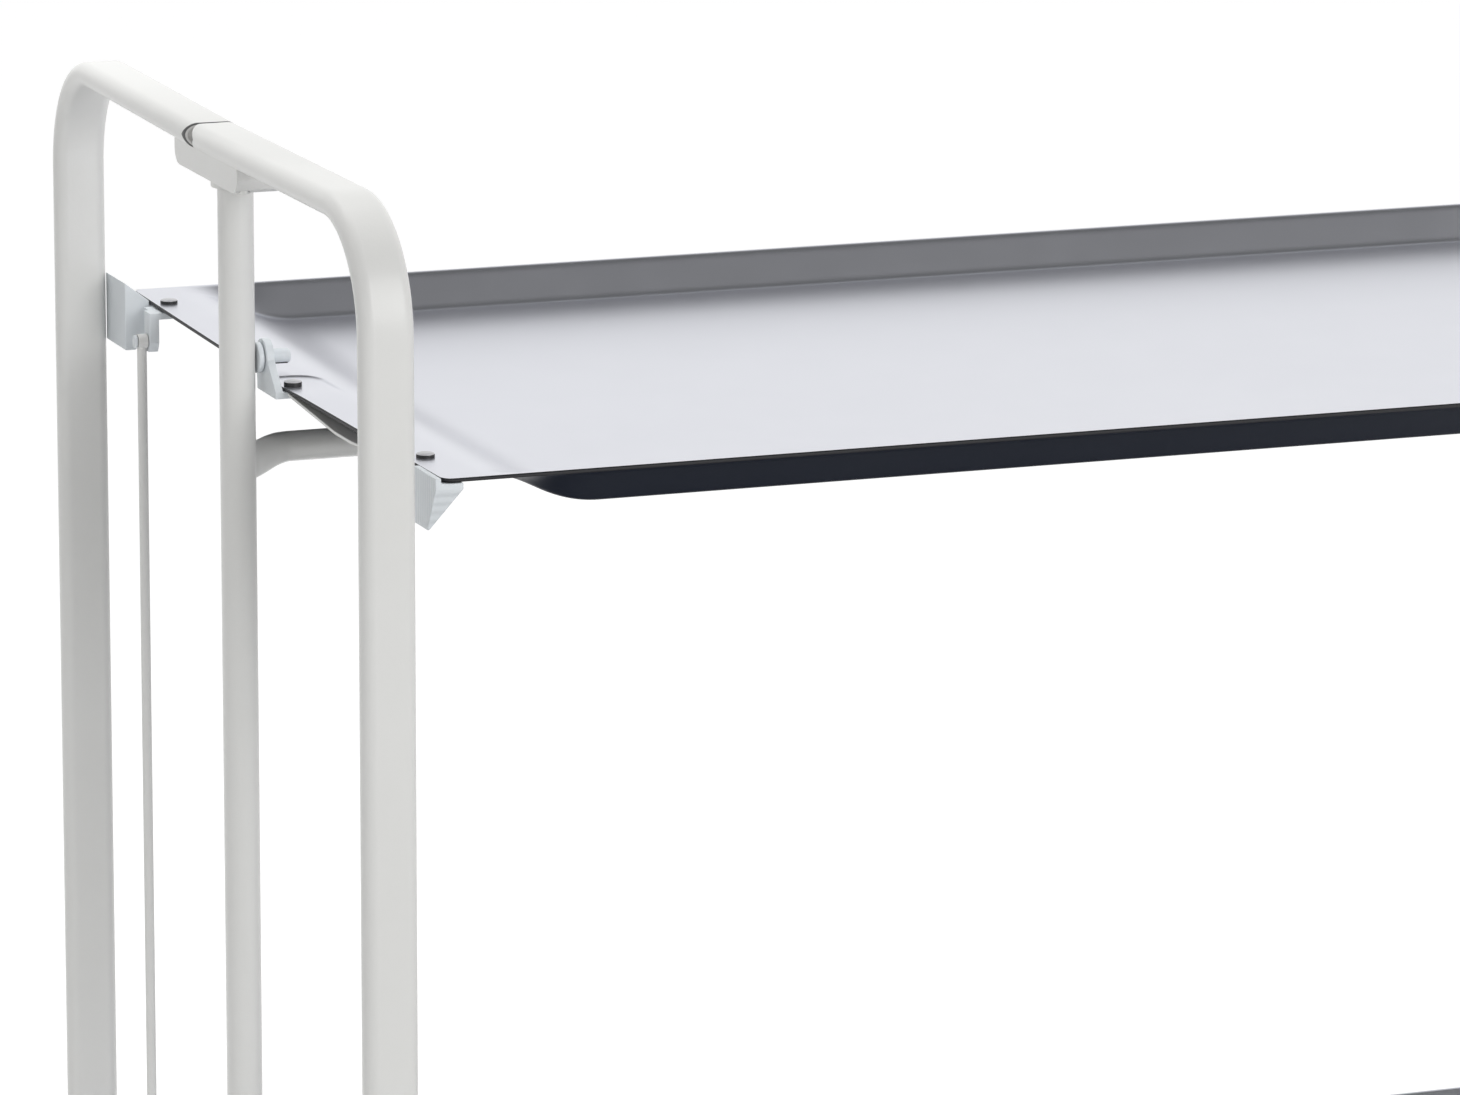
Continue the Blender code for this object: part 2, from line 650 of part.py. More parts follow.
def add_ear(tray_name, side_name, rivet_place):
    """The white ear that hangs a tray end on its pivot bolt, and the bolt."""
    pivot_height = TRAYS[tray_name]
    body, matrix = f"tray_{tray_name}", end_matrix(SIDES[side_name])
    ear_out = POST_RADIUS + GAP + BOLT_COLLAR_THICKNESS + GAP
    ear_in = ear_out + EAR_THICKNESS
    under = pivot_height - PIVOT_RISE - TRAY_SHEET - GAP
    foot_bottom = under - FOOT_THICKNESS
    outline = arc((0, pivot_height), EAR_RADIUS, 0, 180, SMALL_SEGMENTS // 2)
    outline += [(-EAR_FOOT_FRONT, under), (-EAR_FOOT_FRONT, foot_bottom)]
    outline += [(EAR_FOOT_BACK, foot_bottom), (EAR_FOOT_BACK, under)]
    ear = prism(outline, ear_out, ear_in, "x")
    name = f"{tray_name}_{side_name}"
    piece = add_piece(f"pivot_ear_{name}", ear, "white_plastic", body, matrix)
    foot = [(ear_out + EAR_THICKNESS / 2, -EAR_FOOT_FRONT), (ear_in + EAR_FOOT_REACH, -EAR_FOOT_FRONT)]
    foot += [(ear_in + EAR_FOOT_REACH, EAR_FOOT_BACK), (ear_out + EAR_THICKNESS / 2, EAR_FOOT_BACK)]
    boolean(piece, prism(foot, foot_bottom, under), "UNION", body, matrix)
    boolean(piece, rivet(rivet_place, under - FOOT_THICKNESS / 2), "UNION", body, matrix)
    centre = (0, 0, pivot_height)
    hole = rod(BOLT_RADIUS + GAP, ear_out - OVERRUN, ear_in + OVERRUN, centre, "x")
    boolean(piece, hole, "DIFFERENCE", body, matrix)

    start = POST_RADIUS + GAP
    collar = start + BOLT_COLLAR_THICKNESS
    tip = ear_in + BOLT_TIP_REACH
    bevel = BOLT_RADIUS / 3
    bolt = turned(
        [(0, start), (BOLT_COLLAR_RADIUS, start), (BOLT_COLLAR_RADIUS, collar), (BOLT_RADIUS, collar),
         (BOLT_RADIUS, tip - bevel), (BOLT_RADIUS - bevel, tip), (0, tip)],
        SMALL_SEGMENTS, centre, "x",
    )
    add_piece(f"pivot_bolt_{name}", bolt, "white_plastic", "root", matrix, True)


def add_strip(tray_name, side_name, rivet_place):
    """A strip bowed down under the front half of a tray end, between the ear and its rivet."""
    body, matrix = f"tray_{tray_name}", end_matrix(SIDES[side_name])
    under = TRAYS[tray_name] - PIVOT_RISE - TRAY_SHEET - GAP
    length = STRIP_END - STRIP_START
    bowed = STRIP_RIVET_DISTANCE - STRIP_START - STRIP_WIDTH / 2
    upper, lower = [], []
    for step in range(SMALL_SEGMENTS + 1):
        share = step / SMALL_SEGMENTS
        y = -(STRIP_START + share * length)
        reach = min(share * length / bowed, 1)
        z = under - STRIP_BOW * math.sin(math.pi * reach) ** 2
        upper.append((y, z))
        lower.append((y, z - STRIP_THICKNESS))
    rings = []
    for (y, top), (_, bottom) in zip(upper, lower):
        low_x = tray_end(y) + GAP
        high_x = low_x + STRIP_WIDTH
        rings.append([(low_x, y, top), (high_x, y, top), (high_x, y, bottom), (low_x, y, bottom)])
    name = f"{tray_name}_{side_name}"
    piece = add_piece(f"end_strip_{name}", swept(rings), "frame_paint", body, matrix)
    boolean(piece, rivet(rivet_place, under - STRIP_THICKNESS / 2), "UNION", body, matrix)


def rest_near():
    """How far from the middle plane a corner rest begins."""
    return LEG_SPACING / 2 - GAP - REST_WIDTH


def add_corner_rest(tray_name, side_name):
    """The white rest on the inner face of a back leg. A flat tray's back corner lies on its shelf."""
    rim = TRAYS[tray_name] - PIVOT_RISE
    under = rim - TRAY_SHEET - GAP
    bottom = rim - REST_DROP
    leg_face = frame_line(LEG_SPACING / 2) + TUBE_WIDTH / 2 + GAP
    wall = tray_end(rest_near()) - GAP
    outline = [(leg_face, rim + REST_RISE), (wall, rim), (wall, under), (REST_REACH, under)]
    outline += [(REST_REACH, under - SHELF_THICKNESS), (leg_face + REST_FOOT, bottom), (leg_face, bottom)]
    rest = prism(outline, rest_near(), LEG_SPACING / 2 - GAP, "y")
    name = f"corner_rest_{tray_name}_{side_name}"
    add_piece(name, rest, "white_plastic", f"half_frame_{side_name}_back", end_matrix(SIDES[side_name]))


def add_corner_block(tray_name, side_name):
    """The white block under a tray's front corner. It comes up past the end edge, beside the leg.
    Its front face is cut back towards the foot."""
    rim = TRAYS[tray_name] - PIVOT_RISE
    under = rim - TRAY_SHEET - GAP
    bottom = rim - BLOCK_DROP
    far = TRAY_WIDTH / 2 + BLOCK_OVERHANG
    near = far - BLOCK_WIDTH
    wall = tray_end(near) - GAP
    outline = [(BLOCK_OUT, rim + BLOCK_RISE), (wall, rim + BLOCK_RISE), (wall, under), (BLOCK_IN, under)]
    outline += [(BLOCK_IN, under - SHELF_THICKNESS), (BLOCK_OUT + BLOCK_FOOT, bottom), (BLOCK_OUT, bottom)]
    matrix = end_matrix(SIDES[side_name], FRONT)
    name, body = f"corner_block_{tray_name}_{side_name}", f"tray_{tray_name}"
    piece = add_piece(name, prism(outline, near, far, "y"), "white_plastic", body, matrix)
    taper_top, taper_bottom = under - SHELF_THICKNESS, bottom - OVERRUN
    taper = [(far, taper_top), (far + OVERRUN, taper_top), (far + OVERRUN, taper_bottom)]
    taper.append((far - BLOCK_TAPER, taper_bottom))
    boolean(piece, prism(taper, BLOCK_OUT - OVERRUN, BLOCK_IN + OVERRUN, "x"), "DIFFERENCE", body, matrix)


def rod_pivot(tray_name):
    return ROD_DISTANCE, TRAYS[tray_name] - PIVOT_RISE - ROD_PIVOT_DROP


def add_rod_fork(tray_name):
    """The white hanger under the back left corner of a tray, with the pin that the link rod turns on."""
    body, matrix = f"tray_{tray_name}", end_matrix(LEFT)
    under = TRAYS[tray_name] - PIVOT_RISE - TRAY_SHEET - GAP
    pivot_y, pivot_z = rod_pivot(tray_name)
    tab_out = ROD_INWARD + ROD_RADIUS + GAP
    tab_in = tab_out + FORK_TAB
    half = FORK_TAB_WIDTH / 2
    bottom = TRAYS[tray_name] - PIVOT_RISE - FORK_TAB_DROP
    tab = [(pivot_y - half, under), (pivot_y + half, under), (pivot_y + half, bottom + half)]
    tab += [(pivot_y + half / 2, bottom), (pivot_y - half / 2, bottom), (pivot_y - half, bottom + half)]
    hanger = prism(tab, tab_out, tab_in, "x")
    piece = add_piece(f"rod_hanger_{tray_name}", hanger, "white_plastic", body, matrix)

    middle = tab_out + FORK_TAB / 2
    rivet_place = rivet_places(TRAYS[tray_name])["fork"]
    plate_in, plate_back = rivet_place[0] + FORK_PLATE_IN, rivet_place[1] + half
    plate = [(middle, pivot_y - half), (plate_in, pivot_y - half)]
    plate += [(plate_in, plate_back), (middle, plate_back)]
    boolean(piece, prism(plate, under - FOOT_THICKNESS, under), "UNION", body, matrix)
    boolean(piece, rivet(rivet_place, under - FOOT_THICKNESS / 2), "UNION", body, matrix)
    pin_out = ROD_INWARD - ROD_RADIUS - GAP
    pin = turned(
        [(0, pin_out - ROD_PIN_HEAD), (ROD_PIN_HEAD_RADIUS, pin_out - ROD_PIN_HEAD),
         (ROD_PIN_HEAD_RADIUS, pin_out), (ROD_PIN_RADIUS, pin_out), (ROD_PIN_RADIUS, middle), (0, middle)],
        SMALL_SEGMENTS, (0, pivot_y, pivot_z), "x",
    )
    boolean(piece, pin, "UNION", body, matrix)


def add_link_rod():
    """The thin rod that makes both trays tilt alike, with an eye at each end."""
    matrix = end_matrix(LEFT)
    y, top = rod_pivot("upper")
    bottom = rod_pivot("lower")[1]
    shaft = rod(ROD_RADIUS, bottom, top, (ROD_INWARD, y, 0))
    piece = add_piece("link_rod", shaft, "frame_paint", "link_rod", matrix, True)
    for height in (bottom, top):
        eye = rod(ROD_EYE_RADIUS, -ROD_RADIUS, ROD_RADIUS, (ROD_INWARD, y, height), "x")
        boolean(piece, eye, "UNION", "link_rod", matrix)
    for height in (bottom, top):
        reach = ROD_RADIUS + OVERRUN
        hole = rod(ROD_PIN_RADIUS + GAP, -reach, reach, (ROD_INWARD, y, height), "x")
        boolean(piece, hole, "DIFFERENCE", "link_rod", matrix)


def make_bodies():
    """Empties on the joint axes, nested as the bodies hang on each other."""
    make_body("root", (0, 0, 0))
    hinge_x, hinge_y = hinge_place()
    leg_x, leg_y = leg_place()
    for side_name, side in SIDES.items():
        for row_name, row in ROWS.items():
            name = f"{side_name}_{row_name}"
            matrix = end_matrix(side, row)
            make_body(f"half_frame_{name}", matrix @ Vector((hinge_x, hinge_y, 0)), "root")
            make_body(f"caster_{name}", matrix @ Vector((leg_x, leg_y, LEG_BOTTOM)), f"half_frame_{name}")
            axle = matrix @ Vector((leg_x + CASTER_TRAIL, leg_y, WHEEL_RADIUS))
            make_body(f"wheel_{name}", axle, f"caster_{name}")
    for tray_name, height in TRAYS.items():
        make_body(f"tray_{tray_name}", (0, 0, height), "root")
    y, z = rod_pivot("upper")
    make_body("link_rod", end_matrix(LEFT) @ Vector((ROD_INWARD, y, z)), "tray_upper")


def main():
    clear_scene()
    make_materials()
    make_bodies()
    for side_name in SIDES:
        add_post(side_name)
        for row_name in ROWS:
            add_half_frame(side_name, row_name)
            add_caster(side_name, row_name)
    for tray_name in TRAYS:
        add_rail(tray_name)
        add_tray(tray_name)
        add_rod_fork(tray_name)
    add_link_rod()


main()
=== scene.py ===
"""Looks of the folding serving trolley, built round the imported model.

Metres, +X along the trolley, -Y the front. Each end is worked out once in its own frame and mirrored:
there x runs inwards from the post's axis, y from the middle plane towards a leg, z is the height.
"""

import json
import math

import bmesh
import bpy
import numpy as np
from mathutils import Matrix, Vector

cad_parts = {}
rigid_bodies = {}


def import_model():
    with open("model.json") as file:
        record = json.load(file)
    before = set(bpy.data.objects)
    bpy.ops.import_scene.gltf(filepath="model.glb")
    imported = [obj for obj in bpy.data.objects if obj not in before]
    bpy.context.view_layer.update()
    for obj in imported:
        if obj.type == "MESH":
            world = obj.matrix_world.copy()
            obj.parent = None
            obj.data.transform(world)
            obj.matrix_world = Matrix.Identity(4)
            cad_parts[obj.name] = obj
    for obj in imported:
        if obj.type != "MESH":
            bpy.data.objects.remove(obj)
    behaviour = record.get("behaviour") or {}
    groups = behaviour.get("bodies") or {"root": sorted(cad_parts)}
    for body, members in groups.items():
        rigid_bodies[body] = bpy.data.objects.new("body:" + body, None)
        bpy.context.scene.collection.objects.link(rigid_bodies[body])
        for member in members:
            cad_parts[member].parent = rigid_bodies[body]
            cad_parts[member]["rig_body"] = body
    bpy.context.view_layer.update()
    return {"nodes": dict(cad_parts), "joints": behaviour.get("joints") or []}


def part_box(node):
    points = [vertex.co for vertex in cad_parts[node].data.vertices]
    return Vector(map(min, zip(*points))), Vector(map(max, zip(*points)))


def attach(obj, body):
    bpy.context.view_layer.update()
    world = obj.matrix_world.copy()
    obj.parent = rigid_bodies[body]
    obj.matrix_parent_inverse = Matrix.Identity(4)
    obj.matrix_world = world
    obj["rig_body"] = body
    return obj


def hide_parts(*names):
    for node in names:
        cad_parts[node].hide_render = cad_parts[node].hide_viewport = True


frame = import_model()

# Layout, read from the frame
LEFT, RIGHT = -1, 1
FRONT, BACK = -1, 1
SIDES = {"left": LEFT, "right": RIGHT}
ROWS = {"front": FRONT, "back": BACK}
joint_places = {joint["name"]: Vector(joint["pos_m"]) for joint in frame["joints"]}
post_low, post_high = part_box("post_right")
tube_low, tube_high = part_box("frame_tube_right_back")
POST_X = (post_low.x + post_high.x) / 2
POST_RADIUS = (post_high.x - post_low.x) / 2
TOP_HEIGHT = tube_high.z
LEG_BOTTOM = tube_low.z
TRAYS = {name: joint_places[f"tray_{name}_tilt"].z for name in ("upper", "lower")}
hinge = joint_places["frame_swing_right_back"]
stem = joint_places["caster_swivel_right_back"]
HINGE_DISTANCE = hinge.y
LEG_DISTANCE = stem.y
VEE_SLOPE = (hinge.x - stem.x) / (stem.y - hinge.y)
TUBE_OFFSET = hinge.x + hinge.y * VEE_SLOPE - POST_X

# Gap between neighbours that lie against each other or turn on each other
CLEARANCE = 0.0003

# Half frames
TUBE_WIDTH = 0.0212
TUBE_THICKNESS = 0.010
TUBE_BEND_RADIUS = 0.044
TUBE_END_ROUNDING = 0.005
HALF_FRAME_GAP = 0.0006
TUBE_EDGE = 0.0006
TUBE_WALL = 0.0013
TUBE_MOUTH_DEPTH = 0.0004
TUBE_MOUTH_RINGS = 2

# Rails
rail_low, rail_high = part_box("rail_upper")
RAIL_DROP = TRAYS["upper"] - (rail_low.z + rail_high.z) / 2
RAIL_START = rail_low.x + POST_X
RAIL_RADIUS = 0.006
RAIL_FLAT_THICKNESS = 0.003
RAIL_FLAT_END = 0.003
RAIL_TUBE_START = 0.032
RAIL_FLAT_HEIGHT = rail_high.z - rail_low.z
RAIL_CRANK_BEND = 0.35
RAIL_OPENING = 0.35
RAIL_EDGE = 0.0006

# Trays
tray_low, tray_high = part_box("tray_upper")
TRAY_HALF_WIDTH = tray_high.y
TRAY_END_DISTANCE = POST_X - tray_high.x
PIVOT_RISE = TRAYS["upper"] - tray_high.z
TRAY_SHEET = 0.0015
TRAY_DEPTH = 0.014
TRAY_RIM = 0.0012
TRAY_WALL_INSET = 0.0145
TRAY_END_STRIP = 0.015
TRAY_RAMP = 0.051
TRAY_CORNER_RADIUS = 0.005
TRAY_EDGE = 0.0004

# Shallow pressed seats for the rivets in the middle of each tray end
SEAT_DEPTH = 0.0006
SEAT_SLOPE = 0.0015
SEAT_LENGTH = 0.0185
SEAT_BACK = 0.0035
SEAT_FRONT = 0.0420
SEAT_CORNER = 0.0100
SEAT_FADE = 0.034

# Shares of a slope that are bends, at each of its two ends
SEAT_FADE_BEND = 0.5
SEAT_SLOPE_BEND = 0.4
TRAY_RAMP_BEND = 0.45
TRAY_WALL_BEND = 0.2

# Rivets. Each kind has its inset from the tray's end edge and its y.
RIVET_RADIUS = 0.0035
RIVET_HEIGHT = 0.0019
RIVET_SKIRT = 0.0012
RIVET_INSETS = {"ear": (0.0048, -0.013), "strip": (0.0074, -0.159), "hanger": (0.0060, 0.1650)}

# Pivot bolts
bolt_low, bolt_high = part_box("pivot_bolt_upper_left")
BOLT_START = bolt_low.x + POST_X
BOLT_TIP = bolt_high.x + POST_X
BOLT_RADIUS = 0.003
BOLT_COLLAR_RADIUS = (bolt_high.z - bolt_low.z) / 2
BOLT_COLLAR_THICKNESS = 0.0022
BOLT_EDGE = 0.0006
BOLT_DOME = 0.0016
# Turns round the pin between which a strip low on its front is painted as shade
PAINTED_SHADE_START = math.radians(218)
PAINTED_SHADE_END = math.radians(262)

# Casters
wheel_low, wheel_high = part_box("wheel_right_back")
fork_low, fork_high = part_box("caster_fork_right_back")
axle_low, axle_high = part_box("wheel_axle_right_back")
WHEEL_RADIUS = (wheel_high.z - wheel_low.z) / 2
WHEEL_HALF_WIDTH = (wheel_high.y - wheel_low.y) / 2
AXLE_INWARD = POST_X - (wheel_low.x + wheel_high.x) / 2
TYRE_THICKNESS = 0.0050
TYRE_EDGE = 0.0038
HUB_RADIUS = 0.0062
HUB_DISH = 0.0022
HUB_LIP = TYRE_EDGE / 3
HUB_LIP_FOOT = TYRE_EDGE / 2
HUB_BOSS_SLOPE = TYRE_EDGE / 5
AXLE_RADIUS = 0.002
AXLE_HEAD_RADIUS = (axle_high.z - axle_low.z) / 2
AXLE_HEAD = 0.001
FORK_SHEET = 0.0025
FORK_BEND = 0.0045
CROWN_RISE = 0.0047
FORK_TOP = 2 * WHEEL_RADIUS + CROWN_RISE
FORK_TIP_RADIUS = 0.0055
FORK_BROAD_DEPTH = 0.011
fork_back, fork_ahead = POST_X - fork_high.x, POST_X - fork_low.x
COLLAR_RADIUS = 0.008
STEM_RADIUS = 0.003

# Merging and softened edges of folded sheet and moulded pieces
MERGE_DISTANCE = 1e-7
CAD_MERGE_DISTANCE = 2e-6
SOFT_EDGE = 0.00045
SADDLE_EDGE = 0.0009
ROD_EDGE = 0.0002
EDGE_SHARES = (0, 0.3, 1)
FLAT_ANGLE = math.radians(4)
CREASE_ANGLE = math.radians(32)

# Fineness
ROUND_STEPS = 48
BEND_STEPS = 40
OVAL_STEPS = 12
SOFT_STEPS = 3
EDGE_STEPS = 6
ARC_STEPS = 9
AXLE_HEAD_STEPS = 8
CHEEK_STEPS = 12
CHEEK_LINES = 7

# Grid lines of a tray in each zone, across it and from its end inwards
WALL_LINES = 25
FRONT_LINES = 16
SEAT_LINES = 120
BACK_LINES = 18
RIM_LINES = 3
STRIP_LINES = 10
SEAT_EDGE_LINES = 30
RAMP_LINES = 30
MIDDLE_LINES = 24

# Angles in degrees. A dome stops short of its pole, which a fan closes.
QUARTER = 90
DOME_END = 86

# Camera, at the photograph's viewing angle
PICTURE_WIDTH = 1460
CAMERA_AZIMUTH = math.radians(-20.8614)
CAMERA_ELEVATION = math.radians(12.5722)
CAMERA_ROLL = math.radians(0.2130)
CAMERA_FOCUS_PIXELS = 7652.56
CAMERA_PLACE = Vector((-1.20651, -2.78396, 1.19103))
SENSOR_WIDTH = 36.0

# Floor and sky
WHITE = (1, 1, 1, 1)
FLOOR_SIZE = 40.0
FLOOR_COLOUR = (0.90, 0.90, 0.90, 1)
FLOOR_ROUGHNESS = 0.8
FLOOR_GLOW = 1.35
FLOOR_GLOW_SHARE = 0.65
SKY_BRIGHT_BELOW = 0.25
SKY_DIM_ABOVE = 0.85
SKY_LOW_LEVEL = 0.97
SKY_HIGH_LEVEL = 0.06

# Lamps: name, place, width, power, and whether it shows in glossy surfaces
LAMP_TARGET = Vector((0, 0, 0.4))
LAMPS = (("key", (0.4, -1.9, 1.5), 1.4, 17, True), ("fill", (-2.0, -1.2, 1.4), 1.6, 1.5, True),
         ("top", (-0.3, 0.9, 2.3), 1.2, 37, False))

# Finishes: depth of the fine relief as a share, noise of the two groups, a Mix node's colour sockets
RELIEF_STRENGTH = 0.5
CLOUD_DETAIL = 5.0
CLOUD_ROUGHNESS = 0.6
CLOUD_LOW = 0.35
CLOUD_HIGH = 0.7
FINE_SCALE = 60.0
FINE_DETAIL = 4.0
NOISE_MIDDLE = 0.5
GRAIN_DETAIL = 2.0
WAVE_SHARE = 0.5
FLUTE_SCALE = 2900.0
MIX_FIRST = 6
MIX_SECOND = 7
MIX_RESULT = 2


# Shapes as arrays
def grid_quads(rows, columns, wrap):
    """Quads between neighbouring grid points. With wrap, the last column joins the first."""
    row = np.arange(rows - 1)[:, None]
    column = np.arange(columns if wrap else columns - 1)[None, :]
    after = (column + 1) % columns
    quads = [row * columns + column, row * columns + after]
    quads += [(row + 1) * columns + after, (row + 1) * columns + column]
    return np.stack(np.broadcast_arrays(*quads), -1).reshape(-1, 4)


def tube_shell(rings):
    """Rings of points, an array (rings, points, 3), joined into a tube closed by a fan at each end."""
    count, around = rings.shape[:2]
    faces = grid_quads(count, around, True).tolist()
    middle = count * around
    step = np.arange(around)
    after = (step + 1) % around
    faces += np.stack([after, step, np.full(around, middle)], -1).tolist()
    last = (count - 1) * around
    faces += np.stack([last + step, last + after, np.full(around, middle + 1)], -1).tolist()
    ends = np.stack([rings[0].mean(0), rings[-1].mean(0)])
    return np.concatenate([rings.reshape(-1, 3), ends]), faces


def sheet_shell(levels):
    """Grids of one size, from a sheet's upper face to its lower one: both faces, and the edge round them."""
    rims = np.array([border(level) for level in levels])
    quads = grid_quads(*levels[0].shape[:2], False)
    edge = grid_quads(*rims.shape[:2], True)
    return [(levels[0].reshape(-1, 3), quads.tolist()), (levels[-1].reshape(-1, 3), quads.tolist()),
            (rims.reshape(-1, 3), edge.tolist())], np.repeat([0, 1, 2], [len(quads), len(quads), len(edge)])


def border(surface):
    """The border of a grid, once round."""
    return np.concatenate([surface[0], surface[1:-1, -1], surface[-1, ::-1], surface[-2:0:-1, 0]])


def turned(profile, centre, axis, bored=False):
    """A profile of (radius, height) turned round an axis: point = centre + r (cos a, sin a) across + h along.
    A bored profile is a closed loop round a hole, and any other is closed by a fan at each end."""
    profile = np.array(profile)
    angle = np.linspace(0, math.tau, ROUND_STEPS, endpoint=False)
    radius, height = profile[:, :1], profile[:, 1:]
    first, second = radius * np.cos(angle), radius * np.sin(angle)
    along = np.broadcast_to(height, first.shape)
    order = {"x": (along, first, second), "y": (second, along, first), "z": (first, second, along)}[axis]
    rings = np.stack(order, -1) + np.array(centre)
    if not bored:
        return tube_shell(rings)
    return rings.reshape(-1, 3), grid_quads(len(rings) + 1, ROUND_STEPS, True) % (len(rings) * ROUND_STEPS)


def arc_angles(first, last, count):
    """Angles in radians, evenly from first to last, which are in degrees."""
    return np.radians(np.linspace(first, last, count))


def rounded_rod(radius, low, high, edge):
    """Profile of a round bar whose two end edges are quarter circles of the radius edge."""
    angle = arc_angles(0, QUARTER, EDGE_STEPS)
    ends = np.stack([radius - edge + edge * np.sin(angle), low + edge - edge * np.cos(angle)], -1)
    tops = np.stack([radius - edge + edge * np.cos(angle), high - edge + edge * np.sin(angle)], -1)
    return np.concatenate([ends, tops])


def blended(share, bend):
    """A straight rise from 0 to 1 whose two ends are parabolas over the share bend of its length."""
    share = np.clip(share, 0, 1)
    scale = 2 * bend * (1 - bend)
    middle = (share - bend / 2) / (1 - bend)
    upper = np.where(share > 1 - bend, 1 - (1 - share) ** 2 / scale, middle)
    return np.where(share < bend, share**2 / scale, upper)


def end_matrix(side, row=BACK):
    """Takes an end's own frame, x inwards from the post and y towards the leg, to its place."""
    return Matrix.Translation((side * POST_X, 0, 0)) @ Matrix.Diagonal((-side, row, 1, 1))


def make_piece(name, shells, materials, body, replaced=(), matrix=None, indices=None):
    """One object from shells of (points, faces), its faces outwards, smooth between creases. indices says
    which of the materials each face has."""
    firsts = np.cumsum([0] + [len(points) for points, _ in shells]).tolist()
    faces = [[first + index for index in face] for first, (_, part) in zip(firsts, shells) for face in part]
    mesh = bpy.data.meshes.new(name)
    mesh.from_pydata(np.concatenate([points for points, _ in shells]), [], faces)
    if indices is not None:
        mesh.polygons.foreach_set("material_index", indices.astype(np.int32))
    bm = bmesh.new()
    bm.from_mesh(mesh)
    bmesh.ops.remove_doubles(bm, verts=bm.verts, dist=MERGE_DISTANCE)
    bm.transform(matrix or Matrix())
    bmesh.ops.recalc_face_normals(bm, faces=bm.faces)
    bm.to_mesh(mesh)
    bm.free()
    for material in materials:
        mesh.materials.append(material)
    mesh.shade_smooth()
    mesh.set_sharp_from_angle(angle=CREASE_ANGLE)
    piece = bpy.data.objects.new(name, mesh)
    bpy.context.scene.collection.objects.link(piece)
    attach(piece, body)
    if replaced:
        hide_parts(*replaced)


def softened(node, material, width=SOFT_EDGE):
    """A copy of a CAD node with its flat faces merged and its sharp edges rounded."""
    source = frame["nodes"][node]
    mesh = source.data.copy()
    bm = bmesh.new()
    bm.from_mesh(mesh)
    bmesh.ops.remove_doubles(bm, verts=bm.verts, dist=CAD_MERGE_DISTANCE)
    bmesh.ops.dissolve_limit(bm, angle_limit=FLAT_ANGLE, verts=bm.verts, edges=bm.edges)
    bm.to_mesh(mesh)
    bm.free()
    mesh.materials.clear()
    mesh.materials.append(material)
    mesh.shade_smooth()
    mesh.set_sharp_from_angle(angle=CREASE_ANGLE)
    piece = bpy.data.objects.new(f"{node}_soft", mesh)
    bpy.context.scene.collection.objects.link(piece)
    bevel = piece.modifiers.new("Edges", "BEVEL")
    bevel.width = width
    bevel.segments = SOFT_STEPS
    bevel.limit_method = "ANGLE"
    bevel.angle_limit = CREASE_ANGLE
    bevel.harden_normals = True
    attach(piece, source["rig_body"])
    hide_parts(node)


# Material groups
def new_group(name, inputs, outputs):
    """A node group with named sockets."""
    group = bpy.data.node_groups.new(name, "ShaderNodeTree")
    for socket, kind, *values in inputs:
        made = group.interface.new_socket(name=socket, in_out="INPUT", socket_type=kind)
        for value in values:
            made.default_value = value
    for socket, kind in outputs:
        group.interface.new_socket(name=socket, in_out="OUTPUT", socket_type=kind)
    nodes = group.nodes
    return group, nodes.new("NodeGroupInput"), nodes.new("NodeGroupOutput")


def add_node(tree, kind, values=None, **properties):
    """A node with its properties set. Each of values goes to an input, as a link or as a plain value."""
    node = tree.nodes.new(kind)
    for name, value in properties.items():
        setattr(node, name, value)
    for socket, value in (values or {}).items():
        if isinstance(value, bpy.types.NodeSocket):
            tree.links.new(value, node.inputs[socket])
        else:
            node.inputs[socket].default_value = value
    return node


def make_mottle_group():
    """Slow changes of a finish: its colour shifts towards a tint, and its roughness wanders."""
    group, inside, outside = new_group(
        "Mottle",
        (("Color", "NodeSocketColor"), ("Tint", "NodeSocketColor"), ("Scale", "NodeSocketFloat"),
         ("Amount", "NodeSocketFloat"), ("Roughness", "NodeSocketFloat"),
         ("Roughness Spread", "NodeSocketFloat")),
        (("Color", "NodeSocketColor"), ("Roughness", "NodeSocketFloat")),
    )
    place = add_node(group, "ShaderNodeTexCoord").outputs["Object"]
    values = {"Vector": place, "Scale": inside.outputs["Scale"], "Detail": CLOUD_DETAIL}
    cloud = add_node(group, "ShaderNodeTexNoise", values | {"Roughness": CLOUD_ROUGHNESS})
    values = {0: cloud.outputs["Fac"], 1: CLOUD_LOW, 2: CLOUD_HIGH, 3: 0.0, 4: 1.0}
    share = add_node(group, "ShaderNodeMapRange", values)
    values = {0: share.outputs[0], 1: inside.outputs["Amount"]}
    amount = add_node(group, "ShaderNodeMath", values, operation="MULTIPLY")
    mixed = add_node(group, "ShaderNodeMix", {"Factor": amount.outputs[0]}, data_type="RGBA")
    group.links.new(inside.outputs["Color"], mixed.inputs[MIX_FIRST])
    group.links.new(inside.outputs["Tint"], mixed.inputs[MIX_SECOND])
    values = {"Vector": place, "Scale": FINE_SCALE, "Detail": FINE_DETAIL}
    fine = add_node(group, "ShaderNodeTexNoise", values)
    values = {0: fine.outputs["Fac"], 1: NOISE_MIDDLE}
    centred = add_node(group, "ShaderNodeMath", values, operation="SUBTRACT")
    values = {0: centred.outputs[0], 1: inside.outputs["Roughness Spread"], 2: inside.outputs["Roughness"]}
    rough = add_node(group, "ShaderNodeMath", values, operation="MULTIPLY_ADD")
    group.links.new(mixed.outputs[MIX_RESULT], outside.inputs["Color"])
    group.links.new(rough.outputs[0], outside.inputs["Roughness"])
    return group


